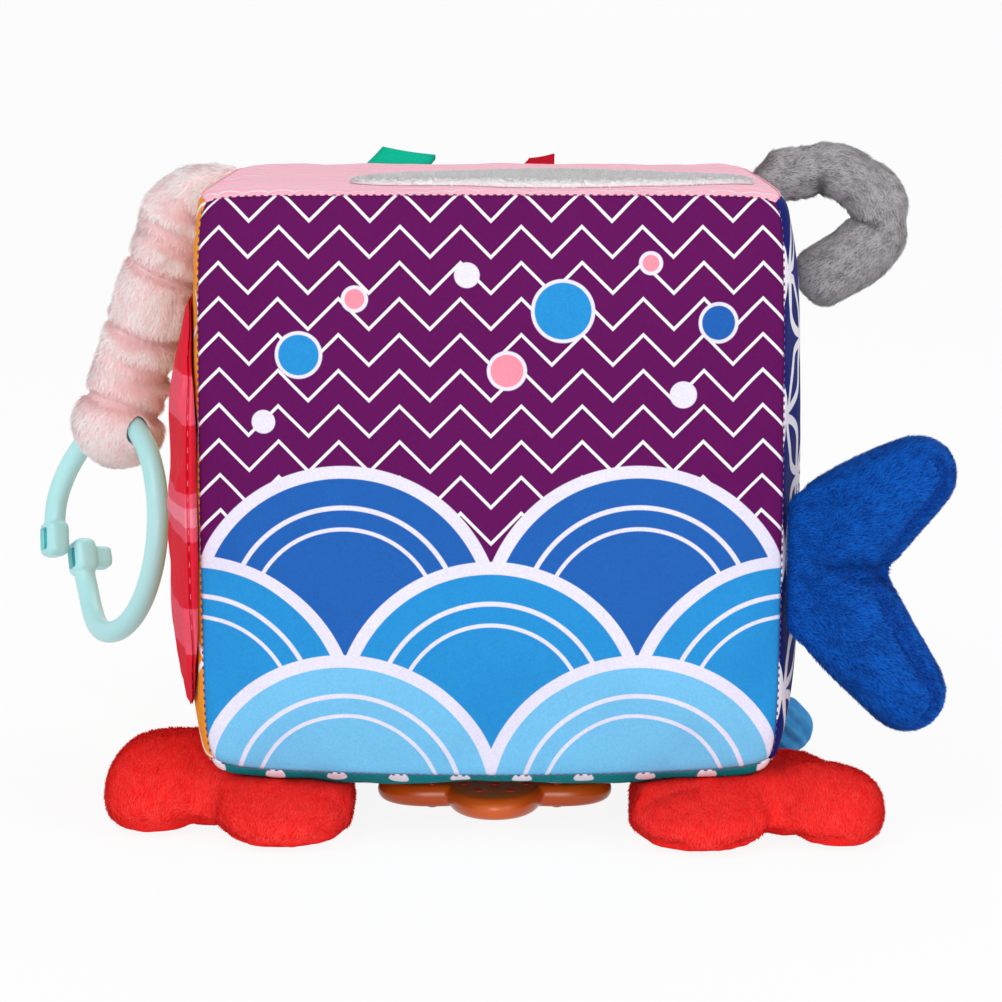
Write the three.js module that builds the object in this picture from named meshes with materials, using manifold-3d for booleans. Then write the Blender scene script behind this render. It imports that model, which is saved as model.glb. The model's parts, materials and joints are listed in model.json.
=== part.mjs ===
// A soft activity cube for a baby: six printed cloth panels over a foam core, with stuffed
// plush limbs, a padded flap, ribbon tags, a split link ring and a teether sewn into its seams.
// Millimetres, +X right, +Y to the back, +Z up, as the cube stands on its two claws.

import * as THREE from 'three';
import { mergeVertices } from 'three/addons/utils/BufferGeometryUtils.js';
import Module from 'manifold-3d';

const wasm = await Module();
wasm.setup();

// Clearance between pieces that touch on the real toy, and the distance that welds two points
const GAP = 0.4;
const WELD = 1e-3;

// Cube: six crowned cloth panels, sewn along the twelve edges
const CUBE = 148;
const CROWN_FRONT = 6;
const CROWN_BACK = 6;
const CROWN_LEFT = 7;
const CROWN_RIGHT = 7;
const CROWN_TOP = 4;
const CROWN_BOTTOM = 3;
const CROWN_POWER = 4;
const CORNER_DRAW = 4;
const CORNER_POWER = 6;
const PANEL_CLOTH = 1.2;
const PANEL_STEPS = 6;

// Plush limbs: two cloth halves over stuffing, with a flat tab sewn into a seam
const PLUSH = 1;
const TAB_LENGTH = 4;
const TAB_THICK = 1.4;
const TAB_GAP = 0.8;
const ROOT_SLOPE = 0.55;
const LIMB_SIDES = 10;
const LIMB_INNER_SIDES = 6;
const CAP_STEPS = [0, 0.55, 0.9];

// Puffed tail and claws: how far their rounded edge reaches in, and its steps
const PILLOW_EDGE = 9;
const PILLOW_STEPS = [0, 0.12, 0.4, 0.85];
const PILLOW_INNER_STEPS = [0, 0.25, 0.85];
const MITRE_LIMIT = 1.4;
const OUTLINE_STEPS = 4;

// Fluke tail on the front right edge: two round tips and a notch between them
const TAIL_DROP = 22;
const TAIL_THICK = 23;
const TAIL_ROOT_RISE = 18.5;
const TAIL_ROOT_FALL = 15;
const UPPER_TIP = { x: 34, y: 24.5, radius: 10, from: -45, to: 110 };
const LOWER_TIP = { x: 32, y: -31, radius: 10.5, from: -140, to: 30 };
const TAIL_NOTCH_OUT = 26.5;

// Arm on the top left edge, bent over the edge and hanging down, with a hole for the link ring
const ARM_BACK = 48;
const ARM_BEND_RADIUS = 18;
const ARM_HANG = 74;
const ARM_STRAIGHT = 79;
const ARM_WIDTH = 24;
const ARM_ROOT_WIDTH = 20;
const ARM_STATIONS = 7;
const ARM_HOLE_FROM_TIP = 17;
const HOLE_SIDES = 12;
const HOLE_STEPS = [-1, -0.5, -0.25, 0, 0.25, 0.5, 1];

// Split link ring, whose two knobbed ends pass side by side
const RING_RADIUS = 31.5;
const RING_WIRE = 6;
const RING_YAW = 31;
const RING_LEAN = 7;
const RING_SPLIT = 195;
const RING_OVERLAP = 16;
const RING_STEP_ASIDE = 34;
const RING_STEPS = 36;
const RING_SIDES = 8;
const KNOB_WIDTH = 8;
const KNOB_LENGTH = 10;
const KNOB_SLOT_LENGTH = 4;
const KNOB_SLOT_WIDTH = 1.6;
const KNOB_SIDES = 10;
const KNOB_RINGS = 6;

// Trunk on the top right edge, curled round so that its tip meets the right panel
const TRUNK_BACK = 30;
const TRUNK_RISE = 10;
const TRUNK_REACH = 16;
const TRUNK_CURL_RADIUS = 15.75;
const TRUNK_CURL = 190;
const TRUNK_ROOT_WIDTH = 12;
const TRUNK_BEND_WIDTH = 16;
const TRUNK_TIP_WIDTH = 13.5;
const TRUNK_STATIONS = 10;

// Claws under the cube, pincers to the front, forearms sewn to the bottom panel
const CLAW_HEIGHT = 21.5;
const CLAW_PRESS = 1.5;
const CLAW_SOLE_CUT = 0.5;
const CLAW_MIDDLE = 58;
const CLAW_ROOT_BACK = 45;
const FOREARM_WIDTH = 28;
const FOREARM_FRONT = 4;
const PALM_FRONT = 28;
const PALM_OUTER = 40;
const PALM_INNER = 21;
const INNER_TIP = { x: -4, y: 68, radius: 18.5, from: -5, to: 190 };
const OUTER_TIP = { x: 31, y: 59, radius: 13, from: -10, to: 175 };
const CLAW_NOTCH = { x: 16.5, y: 48 };
const CLAW_ROOT_SLOPE = 1;

// Gathered puff on the bottom right edge
const PUFF_BACK = 30;
const PUFF_LENGTH = 24;
const PUFF_WIDTH = 14;
const PUFF_DIP = 45;
const PUFF_STATIONS = 3;

// Padded flap, sewn along its top edge to the left panel
const FLAP_MIDDLE_BACK = -33;
const FLAP_MIDDLE_DROP = 8;
const FLAP_WIDTH = 72;
const FLAP_HEIGHT = 108;
const FLAP_CLOTH = 0.8;
const FLAP_PUFF = 4.8;
const FLAP_ROUNDNESS = 2.8;
const FLAP_WADDING_REACH = 0.88;
const FLAP_REACHES = [0.45, 0.8, 1];
const FLAP_SECTORS = 20;

// Oval plush patch on the top panel
const PATCH_RIGHT = 16;
const PATCH_BACK = -38;
const PATCH_LENGTH = 106;
const PATCH_WIDTH = 46;
const PATCH_THICK = 2.2;
const PATCH_RIM = 1.1;
const PATCH_REACHES = [0.35, 0.7, 1];
const PATCH_SECTORS = 24;

// Folded ribbon tags on the rear top edge
const TAG_RIBBON = 0.5;
const TAG_HEIGHT = 9;
const TAG_LEAN = 45;
const TAG_FOLD = 0.8;
const GREEN_TAG = { right: -28, width: 19 };
const RED_TAG = { right: 14, width: 9 };

// Star teether, held by a ribbon loop that is sewn to the bottom panel
const TEETHER_RIGHT = 2;
const TEETHER_BACK = -25;
const TEETHER_RADIUS = 31;
const TEETHER_WAIST = 17;
const TEETHER_THICK = 6;
const TEETHER_BEVEL = 1.2;
const TEETHER_ARMS = 5;
const TEETHER_ARM_STEPS = 10;
const TEETHER_RIBBON_ARM = 54;
const TEETHER_SLOT_LENGTH = 9;
const TEETHER_SLOT_WIDTH = 2.6;
const TEETHER_SLOT_RIM = 4.5;
const RIBBON_WIDTH = 7.5;
const RIBBON_THICK = 0.7;
const RIBBON_STRAP = 4;
const RIBBON_FLOOR_GAP = 0.4;

// Colours that several pieces share
const STUFFING_COLOUR = 0xf7f4ec;

const HALF = CUBE / 2;
const LIFT = CLAW_HEIGHT - CLAW_PRESS;
const MIDDLE = LIFT + HALF;
const UP = new THREE.Vector3(0, 0, 1);
const SIDE = new THREE.Vector3(1, 0, 0);
const BACK = new THREE.Vector3(0, 1, 0);

const radians = THREE.MathUtils.degToRad;
const vec = (x, y, z) => new THREE.Vector3(x, y, z);

// Geometry helpers

// Turn points and triangles into a closed geometry that faces out.
function closedGeometry(points, triangles) {
  const position = points.flatMap((p) => [p.x, p.y, p.z]);
  const normal = new THREE.Vector3();
  let volume = 0;
  for (const [a, b, c] of triangles) {
    volume += normal.crossVectors(points[a], points[b]).dot(points[c]);
  }
  const index = triangles.flatMap(([a, b, c]) => (volume > 0 ? [a, b, c] : [a, c, b]));
  const geometry = new THREE.BufferGeometry();
  geometry.setAttribute('position', new THREE.Float32BufferAttribute(position, 3));
  geometry.setIndex(index);
  return geometry;
}

function toSolid(geometry) {
  const bare = geometry.clone();
  bare.deleteAttribute('normal');
  bare.deleteAttribute('uv');
  const merged = mergeVertices(bare, WELD);
  const mesh = new wasm.Mesh({
    numProp: 3,
    vertProperties: new Float32Array(merged.attributes.position.array),
    triVerts: new Uint32Array(merged.index.array),
  });
  return new wasm.Manifold(mesh);
}

function toGeometry(solid) {
  const mesh = solid.getMesh();
  const geometry = new THREE.BufferGeometry();
  geometry.setAttribute('position', new THREE.Float32BufferAttribute(mesh.vertProperties, 3));
  geometry.setIndex(Array.from(mesh.triVerts));
  return geometry;
}

function joined(solids) {
  return solids.reduce((whole, solid) => whole.add(solid));
}

// Everything on the far side of a plane, out to well past the toy.
function beyond(normal, distance) {
  const reach = 4 * CUBE;
  const box = new THREE.BoxGeometry(reach, reach, reach);
  box.translate(0, 0, reach / 2 + distance);
  box.applyQuaternion(new THREE.Quaternion().setFromUnitVectors(UP, normal));
  return toSolid(box);
}

// Triangles between rings of points, ring after ring.
function ringTriangles(ringCount, sides) {
  const triangles = [];
  for (let ring = 0; ring + 1 < ringCount; ring += 1) {
    for (let side = 0; side < sides; side += 1) {
      const next = (side + 1) % sides;
      const a = ring * sides + side;
      const b = ring * sides + next;
      const c = (ring + 1) * sides + next;
      const d = (ring + 1) * sides + side;
      triangles.push([a, b, c], [a, c, d]);
    }
  }
  return triangles;
}

// Everything past a plane through a point, set further in by an inset.
function pastPlane(point, direction, inset) {
  const normal = direction.clone().normalize();
  return beyond(normal, normal.dot(point) + inset);
}

// Rings of points joined into a closed skin, with a fan to a middle point at each end.
function ringSolid(rings, startPoint, endPoint) {
  const sides = rings[0].length;
  const points = rings.flat();
  const triangles = ringTriangles(rings.length, sides);
  const start = points.push(startPoint) - 1;
  const end = points.push(endPoint) - 1;
  const last = (rings.length - 1) * sides;
  for (let side = 0; side < sides; side += 1) {
    const next = (side + 1) % sides;
    triangles.push([start, next, side], [end, last + side, last + next]);
  }
  return closedGeometry(points, triangles);
}

// Oval section round a point, from its two half sizes.
function ovalRing(centre, acrossAxis, thickAxis, halfAcross, halfThick, sides) {
  return Array.from({ length: sides }, (unused, side) => {
    const angle = (2 * Math.PI * side) / sides;
    return centre.clone()
      .addScaledVector(acrossAxis, halfAcross * Math.cos(angle))
      .addScaledVector(thickAxis, halfThick * Math.sin(angle));
  });
}

// Closed cloth sheet between an outer and an inner surface over a square of steps.
function squareSheet(outer, inner, steps) {
  const points = [];
  const triangles = [];
  const row = steps + 1;
  const layer = row * row;
  for (const surface of [outer, inner]) {
    for (let j = 0; j <= steps; j += 1) {
      for (let i = 0; i <= steps; i += 1) {
        points.push(surface(i, j));
      }
    }
  }
  for (let j = 0; j < steps; j += 1) {
    for (let i = 0; i < steps; i += 1) {
      const a = j * row + i;
      const b = a + 1;
      const c = a + row + 1;
      const d = a + row;
      triangles.push([a, b, c], [a, c, d]);
      triangles.push([layer + a, layer + c, layer + b], [layer + a, layer + d, layer + c]);
    }
  }
  const rim = [];
  for (let i = 0; i < steps; i += 1) rim.push(i);
  for (let j = 0; j < steps; j += 1) rim.push(j * row + steps);
  for (let i = steps; i > 0; i -= 1) rim.push(steps * row + i);
  for (let j = steps; j > 0; j -= 1) rim.push(j * row);
  rim.forEach((a, place) => {
    const b = rim[(place + 1) % rim.length];
    triangles.push([b, a, layer + a], [b, layer + a, layer + b]);
  });
  return closedGeometry(points, triangles);
}

// Closed cloth sheet over an oval: each surface takes a reach from 0 to 1 and an angle.
function ovalSheet(outer, inner, reaches, sectors) {
  const ringsOf = (surface) => reaches.map((reach) => (
    Array.from({ length: sectors }, (unused, sector) => surface(reach, (2 * Math.PI * sector) / sectors))
  ));
  const rings = [...ringsOf(outer), ...ringsOf(inner).reverse()];
  return ringSolid(rings, outer(0, 0), inner(0, 0));
}

// Outline drawn in by a distance, square to its edges.
function drawnIn(outline, distance) {
  const count = outline.length;
  const inward = (a, b) => new THREE.Vector2(a.y - b.y, b.x - a.x).normalize();
  return outline.map((point, place) => {
    const before = inward(outline[(place + count - 1) % count], point);
    const after = inward(point, outline[(place + 1) % count]);
    const middle = before.clone().add(after).normalize();
    const stretch = Math.min(1 / middle.dot(after), MITRE_LIMIT);
    return point.clone().addScaledVector(middle, distance * stretch);
  });
}

// Round tip of an outline, an arc about the tip's middle.
function addTip(path, tip) {
  path.absarc(tip.x, tip.y, tip.radius, radians(tip.from), radians(tip.to), false);
}

// Puffed solid over an outline that runs anticlockwise: round at its rim and flat in its middle.
function pillowSolid(outline, halfThick, place, inset) {
  const levels = (inset > 0 ? PILLOW_INNER_STEPS : PILLOW_STEPS).map((step) => ({
    flat: drawnIn(outline, inset + step * PILLOW_EDGE),
    height: (halfThick - inset) * Math.sqrt(1 - (1 - step) ** 2),
  }));
  const lift = (side) => ({ flat, height }) => flat.map((point) => place(point, side * height));
  const rings = [...levels.slice(1).reverse().map(lift(-1)), ...levels.map(lift(1))];
  const sides = outline.length;
  const triangles = ringTriangles(rings.length, sides);
  const last = (rings.length - 1) * sides;
  for (const [a, b, c] of THREE.ShapeUtils.triangulateShape(levels.at(-1).flat, [])) {
    triangles.push([a, c, b], [last + a, last + b, last + c]);
  }
  return toSolid(closedGeometry(rings.flat(), triangles));
}

// Cube surface

// Point of the crowned cube for a point of the unit cube's surface.
function cubePoint(unit, half) {
  const draw = (CORNER_DRAW / HALF) * Math.abs(unit.x * unit.y * unit.z) ** CORNER_POWER;
  const crown = (a, b) => (1 - Math.abs(a) ** CROWN_POWER) * (1 - Math.abs(b) ** CROWN_POWER);
  const sideCrown = (unit.x < 0 ? CROWN_LEFT : CROWN_RIGHT) * crown(unit.y, unit.z);
  const depthCrown = (unit.y < 0 ? CROWN_FRONT : CROWN_BACK) * crown(unit.x, unit.z);
  const heightCrown = (unit.z < 0 ? CROWN_BOTTOM : CROWN_TOP) * crown(unit.x, unit.y);
  return vec(
    unit.x * (half * (1 - draw) + sideCrown),
    unit.y * (half * (1 - draw) + depthCrown),
    MIDDLE + unit.z * (half * (1 - draw) + heightCrown),
  );
}

const FACES = {
  front: { normal: vec(0, -1, 0), across: vec(1, 0, 0), up: vec(0, 0, 1) },
  back: { normal: vec(0, 1, 0), across: vec(-1, 0, 0), up: vec(0, 0, 1) },
  left: { normal: vec(-1, 0, 0), across: vec(0, -1, 0), up: vec(0, 0, 1) },
  right: { normal: vec(1, 0, 0), across: vec(0, 1, 0), up: vec(0, 0, 1) },
  top: { normal: vec(0, 0, 1), across: vec(1, 0, 0), up: vec(0, 1, 0) },
  bottom: { normal: vec(0, 0, -1), across: vec(1, 0, 0), up: vec(0, -1, 0) },
};

// Point of one face, from -1 to 1 each way, on the cube of the given half size.
function facePoint(face, u, v, half) {
  const unit = face.normal.clone().addScaledVector(face.across, u).addScaledVector(face.up, v);
  return cubePoint(unit, half);
}

// Steps along a face, closer together near the seams.
const faceStep = (step) => Math.sin((Math.PI / 2) * ((2 * step) / PANEL_STEPS - 1));

function panelGeometry(face) {
  const reach = 1 - GAP / (Math.SQRT2 * HALF);
  const surface = (half) => (i, j) => facePoint(face, reach * faceStep(i), reach * faceStep(j), half);
  return squareSheet(surface(HALF), surface(HALF - PANEL_CLOTH), PANEL_STEPS);
}

// Whole closed cube of a given half size, as one geometry.
function cubeGeometry(half) {
  const points = [];
  const triangles = [];
  const row = PANEL_STEPS + 1;
  for (const face of Object.values(FACES)) {
    const first = points.length;
    for (let j = 0; j < row; j += 1) {
      for (let i = 0; i < row; i += 1) {
        points.push(facePoint(face, faceStep(i), faceStep(j), half));
      }
    }
    for (let j = 0; j < PANEL_STEPS; j += 1) {
      for (let i = 0; i < PANEL_STEPS; i += 1) {
        const a = first + j * row + i;
        triangles.push([a, a + 1, a + row + 1], [a, a + row + 1, a + row]);
      }
    }
  }
  return mergeVertices(closedGeometry(points, triangles), WELD);
}

// Height of the bottom panel's outer face, and sideways place of the two side panels' outer faces
const unitHeight = (z) => (z - MIDDLE) / HALF;
const bottomAt = (x, y) => cubePoint(vec(x / HALF, y / HALF, -1), HALF).z;
const rightAt = (y, z) => cubePoint(vec(1, y / HALF, unitHeight(z)), HALF).x;
const leftAt = (y, z) => cubePoint(vec(-1, y / HALF, unitHeight(z)), HALF).x;

// Plush limbs

// Half size of a limb at a distance from its root, drawn to a round tip and set in by an inset.
function limbHalf(profile, along, inset) {
  const capStart = profile.length - profile.cap;
  const full = profile.half(along) - inset;
  if (along <= capStart) return full;
  const past = (along - capStart) / (profile.cap - inset);
  return full * Math.sqrt(Math.max(0, 1 - past * past));
}

// Half thickness that the flat root allows at a distance from the sewn edge.
const rootHalf = (along) => TAB_THICK / 2 + ROOT_SLOPE * along;

// A limb's inner faces have fewer sides than its outer one.
const limbSides = (inset) => (inset > 0 ? LIMB_INNER_SIDES : LIMB_SIDES);

// Lofted limb along a spine, a function of distance that gives a point and a heading.
function limbGeometry(profile, spine, acrossAxis, inset) {
  const capStart = profile.length - profile.cap;
  const first = inset > 0 ? TAB_LENGTH : 0;
  const body = profile.stations.filter((along) => along > first + PLUSH && along < capStart - PLUSH);
  const caps = CAP_STEPS.map((step) => capStart + step * (profile.cap - inset));
  const rings = [first, ...body, ...caps].map((along) => {
    const { point, heading } = spine(along);
    const thickAxis = new THREE.Vector3().crossVectors(heading, acrossAxis).normalize();
    const halfAcross = limbHalf(profile, along, inset);
    const halfThick = Math.min(halfAcross, rootHalf(along) - inset);
    return ovalRing(point, acrossAxis, thickAxis, halfAcross, halfThick, limbSides(inset));
  });
  return ringSolid(rings, spine(first).point, spine(profile.length - inset).point);
}

// Spine made of a straight run, an arc in the XZ plane and a second straight run.
function bentSpine(start, startAngle, runIn, radius, turn) {
  const arcLength = radius * Math.abs(turn);
  const headingAt = (angle) => vec(Math.cos(angle), 0, Math.sin(angle));
  const arcStart = start.clone().addScaledVector(headingAt(startAngle), runIn);
  const sign = Math.sign(turn);
  const toCentre = vec(-Math.sin(startAngle), 0, Math.cos(startAngle)).multiplyScalar(sign * radius);
  const centre = arcStart.clone().add(toCentre);
  const onArc = (angle) => centre.clone()
    .add(vec(Math.sin(angle), 0, -Math.cos(angle)).multiplyScalar(sign * radius));
  return (along) => {
    if (along <= runIn) {
      const heading = headingAt(startAngle);
      return { point: start.clone().addScaledVector(heading, along), heading };
    }
    const swept = Math.min(along - runIn, arcLength);
    const angle = startAngle + sign * (swept / radius);
    const heading = headingAt(angle);
    const point = onArc(angle).addScaledVector(heading, Math.max(0, along - runIn - arcLength));
    return { point, heading };
  };
}

const straightSpine = (start, heading) => (along) => ({
  point: start.clone().addScaledVector(heading, along),
  heading,
});

const evenStations = (length, count) => (
  Array.from({ length: count }, (unused, step) => (length * (step + 1)) / (count + 1))
);

// Smooth change from one value to another between two distances.
const ease = (along, from, to, a, b) => a + (b - a) * THREE.MathUtils.smoothstep(along, from, to);

// Cloth halves and stuffing of a limb, from its solid at any inset and the plane that splits it.
function stuffedPieces(solidAt, splitNormal, splitDistance) {
  const shell = solidAt(0).subtract(solidAt(PLUSH));
  const flipped = splitNormal.clone().negate();
  return {
    near: toGeometry(shell.intersect(beyond(flipped, GAP / 2 - splitDistance))),
    far: toGeometry(shell.intersect(beyond(splitNormal, GAP / 2 + splitDistance))),
    stuffing: toGeometry(solidAt(PLUSH + GAP)),
  };
}

// Scene

const toy = new THREE.Group();
toy.name = 'activity_cube';

// Add a mesh in its own material to a group that stands at a pivot.
function addPiece(group, name, geometry, color, roughness = 0.9) {
  const shifted = geometry.clone().translate(-group.position.x, -group.position.y, -group.position.z);
  const material = new THREE.MeshStandardMaterial({ color, roughness, metalness: 0 });
  const mesh = new THREE.Mesh(shifted, material);
  mesh.name = name;
  group.add(mesh);
}

// Add a group that stands where its piece is sewn on.
function addPivot(name, point) {
  const pivot = new THREE.Group();
  pivot.name = name;
  pivot.position.copy(point);
  toy.add(pivot);
  return pivot;
}

// Add a limb's two cloth halves and its stuffing.
function addStuffed(group, limb, [near, far], pieces, color) {
  addPiece(group, `${limb}_${near}_skin`, pieces.near, color);
  addPiece(group, `${limb}_${far}_skin`, pieces.far, color);
  addPiece(group, `${limb}_stuffing`, pieces.stuffing, STUFFING_COLOUR);
}

// Cube pieces

const body = new THREE.Group();
toy.add(body);
addPiece(body, 'foam_core', cubeGeometry(HALF - PANEL_CLOTH - GAP), 0xf2eedf, 0.95);
const PANEL_COLOURS = {
  front: 0x691469, back: 0x5fb35a, left: 0xeb9628, right: 0x19236e, top: 0xfab4c3, bottom: 0x007d82,
};
for (const [name, face] of Object.entries(FACES)) {
  addPiece(body, `${name}_panel`, panelGeometry(face), PANEL_COLOURS[name], 0.85);
}

// Plush patch on the top panel

function patchGeometry() {
  const surface = (lift) => (reach, angle) => {
    const u = (PATCH_RIGHT + (PATCH_LENGTH / 2) * reach * Math.cos(angle)) / HALF;
    const v = (PATCH_BACK + (PATCH_WIDTH / 2) * reach * Math.sin(angle)) / HALF;
    return facePoint(FACES.top, u, v, HALF).addScaledVector(UP, lift(reach));
  };
  const top = (reach) => GAP + PATCH_THICK - (PATCH_THICK - PATCH_RIM) * reach ** CROWN_POWER;
  return ovalSheet(surface(top), surface(() => GAP), PATCH_REACHES, PATCH_SECTORS);
}

addPiece(body, 'top_patch', patchGeometry(), 0x9a979b);

// Ribbon tags, folded double and sewn into the rear top edge

function tagGeometry({ right, width }) {
  const outer = TAG_RIBBON + TAG_FOLD / 2;
  const bend = TAG_HEIGHT - outer;
  const outline = new THREE.Shape();
  outline.moveTo(-TAG_RIBBON, 0);
  outline.lineTo(TAG_RIBBON, 0);
  outline.absarc(0, bend, outer, 0, Math.PI, false);
  const fold = new THREE.Path();
  fold.moveTo(0, 2 * TAG_RIBBON);
  fold.lineTo(TAG_FOLD / 2, bend);
  fold.absarc(0, bend, TAG_FOLD / 2, 0, Math.PI, false);
  outline.holes.push(fold);
  const geometry = new THREE.ExtrudeGeometry(outline, {
    depth: width, bevelEnabled: false, curveSegments: 6,
  });
  geometry.applyMatrix4(new THREE.Matrix4().makeBasis(BACK, UP, SIDE));
  geometry.rotateX(radians(-TAG_LEAN));
  const seat = tagSeat(right);
  geometry.translate(seat.x - width / 2, seat.y, seat.z);
  return toGeometry(toSolid(geometry));
}

function tagSeat(right) {
  return cubePoint(vec(right / HALF, 1, 1), HALF).add(vec(0, GAP / 2, GAP / 2));
}

for (const [name, tag, color] of [['green_tag', GREEN_TAG, 0x1f9e74], ['red_tag', RED_TAG, 0xc8203a]]) {
  addPiece(addPivot(`${name}_pivot`, tagSeat(tag.right)), name, tagGeometry(tag), color, 0.6);
}

// Padded flap on the left panel: back cloth, wadding and front cloth, hinged at its top edge

function flapPoint(reach, angle, offset) {
  const round = (value) => Math.sign(value) * Math.abs(value) ** (2 / FLAP_ROUNDNESS);
  const y = FLAP_MIDDLE_BACK + (FLAP_WIDTH / 2) * reach * round(Math.cos(angle));
  const z = MIDDLE - FLAP_MIDDLE_DROP + (FLAP_HEIGHT / 2) * reach * round(Math.sin(angle));
  return vec(leftAt(y, z) - offset, y, z);
}

const flapPuff = (reach) => FLAP_PUFF * (1 - reach * reach);
const FLAP_BACK_FACE = GAP + FLAP_CLOTH;
const FLAP_FILL_FACE = FLAP_BACK_FACE + GAP;

function flapSheet(outerOffset, innerOffset, scale) {
  const surface = (offset) => (reach, angle) => flapPoint(reach * scale, angle, offset(reach * scale));
  return ovalSheet(surface(outerOffset), surface(innerOffset), FLAP_REACHES, FLAP_SECTORS);
}

const frontInner = (reach) => FLAP_FILL_FACE + flapPuff(reach);
const frontOuter = (reach) => frontInner(reach) + FLAP_CLOTH;
const backCloth = flapSheet(() => FLAP_BACK_FACE, () => GAP, 1);
const wadding = flapSheet((reach) => frontInner(reach) - GAP, () => FLAP_FILL_FACE, FLAP_WADDING_REACH);
const flap = addPivot('flap_pivot', flapPoint(1, Math.PI / 2, frontOuter(1)));
addPiece(flap, 'flap_back_cloth', backCloth, 0xd21f4a);
addPiece(flap, 'flap_wadding', wadding, STUFFING_COLOUR);
addPiece(flap, 'flap_front_cloth', flapSheet(frontOuter, frontInner, 1), 0xe8536f);

// Fluke tail on the front right edge

const tailRoot = vec(HALF + TAB_GAP, -HALF, MIDDLE - TAIL_DROP);

// Outline of the tail, out from the sewn edge and up from the tail's middle.
function tailOutline() {
  const path = new THREE.Path();
  path.moveTo(0, TAIL_ROOT_RISE);
  path.lineTo(0, -TAIL_ROOT_FALL);
  addTip(path, LOWER_TIP);
  path.quadraticCurveTo(TAIL_NOTCH_OUT + LOWER_TIP.radius / 2, LOWER_TIP.y / 3, TAIL_NOTCH_OUT, 0);
  addTip(path, UPPER_TIP);
  path.quadraticCurveTo(UPPER_TIP.x / 2, UPPER_TIP.y + UPPER_TIP.radius / 2, 0, TAIL_ROOT_RISE);
  return path.getPoints(OUTLINE_STEPS).slice(0, -1);
}

// The tail's two faces slope in to the flat tab at its root.
function tailSolid(inset) {
  const place = (point, height) => tailRoot.clone().add(vec(point.x, -height, point.y));
  const half = vec(0, TAB_THICK / 2, 0);
  const pillow = pillowSolid(tailOutline(), TAIL_THICK / 2, place, inset)
    .intersect(pastPlane(tailRoot.clone().sub(half), vec(ROOT_SLOPE, 1, 0), inset))
    .intersect(pastPlane(tailRoot.clone().add(half), vec(ROOT_SLOPE, -1, 0), inset));
  return inset > 0 ? pillow.intersect(beyond(SIDE, tailRoot.x + TAB_LENGTH + inset)) : pillow;
}

const tail = addPivot('tail_pivot', vec(HALF, -HALF, tailRoot.z));
addStuffed(tail, 'tail', ['front', 'back'], stuffedPieces(tailSolid, BACK, tailRoot.y), 0x0a5fc8);

// Arm on the top left edge, with the hole that the link ring runs through

const armEdge = cubePoint(vec(-1, ARM_BACK / HALF, 1), HALF);
const armRoot = armEdge.clone().add(vec(-TAB_GAP, 0, 0));
const armSpine = bentSpine(armRoot, Math.PI, 0, ARM_BEND_RADIUS, radians(ARM_HANG));
const ARM_LENGTH = ARM_BEND_RADIUS * radians(ARM_HANG) + ARM_STRAIGHT;
const ringTop = armSpine(ARM_LENGTH - ARM_HOLE_FROM_TIP).point;
const ringAlong = vec(Math.sin(radians(RING_YAW)), -Math.cos(radians(RING_YAW)), 0);
const ringSide = vec(Math.cos(radians(RING_YAW)), Math.sin(radians(RING_YAW)), 0);
const ringUp = UP.clone().multiplyScalar(Math.cos(radians(RING_LEAN)))
  .addScaledVector(ringSide, Math.sin(radians(RING_LEAN)));
const ringAcross = new THREE.Vector3().crossVectors(ringAlong, ringUp).negate();

// Flared hole, wide enough at its mouths for the ring to swing.
function armHoleSolid(inset) {
  const reach = ARM_WIDTH;
  const profile = [new THREE.Vector2(0, -reach)];
  for (const step of HOLE_STEPS) {
    const along = step * reach;
    const tilt = Math.asin(along / RING_RADIUS);
    const sag = RING_RADIUS * (1 - Math.cos(tilt));
    const room = RING_WIRE / 2 / Math.cos(tilt) + GAP + sag + inset;
    profile.push(new THREE.Vector2(room / Math.cos(Math.PI / HOLE_SIDES), along));
  }
  profile.push(new THREE.Vector2(0, reach));
  const hole = new THREE.LatheGeometry(profile, HOLE_SIDES);
  hole.applyQuaternion(new THREE.Quaternion().setFromUnitVectors(BACK, ringAlong));
  hole.translate(ringTop.x, ringTop.y, ringTop.z);
  return toSolid(hole);
}

function armSolid(inset) {
  const profile = {
    length: ARM_LENGTH,
    cap: ARM_WIDTH / 2,
    stations: evenStations(ARM_LENGTH, ARM_STATIONS),
    half: (along) => ease(along, 0, ARM_LENGTH / 2, ARM_ROOT_WIDTH, ARM_WIDTH) / 2,
  };
  return toSolid(limbGeometry(profile, armSpine, BACK, inset)).subtract(armHoleSolid(inset));
}

const arm = addPivot('arm_pivot', armEdge);
addStuffed(arm, 'arm', ['front', 'back'], stuffedPieces(armSolid, BACK, armEdge.y), 0xfacdc8);

// Split link ring, hanging in the arm's hole

const ringMiddle = ringTop.clone().addScaledVector(ringUp, -RING_RADIUS);
const RING_ASIDE = KNOB_WIDTH / 2 + GAP;
const RING_PASSING = RING_OVERLAP + THREE.MathUtils.radToDeg(KNOB_LENGTH / 2 / RING_RADIUS);

function ringPlace(angle) {
  const before = RING_SPLIT + RING_OVERLAP / 2 - angle;
  const after = angle - (RING_SPLIT - RING_OVERLAP / 2 - 360);
  const asideFrom = (past) => ease(past, RING_PASSING, RING_PASSING + RING_STEP_ASIDE, RING_ASIDE, 0);
  const aside = asideFrom(after) - asideFrom(before);
  const outward = ringAlong.clone().multiplyScalar(Math.cos(radians(angle)))
    .addScaledVector(ringUp, Math.sin(radians(angle)));
  const point = ringMiddle.clone().addScaledVector(outward, RING_RADIUS);
  return { point: point.addScaledVector(ringAcross, aside), outward };
}

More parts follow.
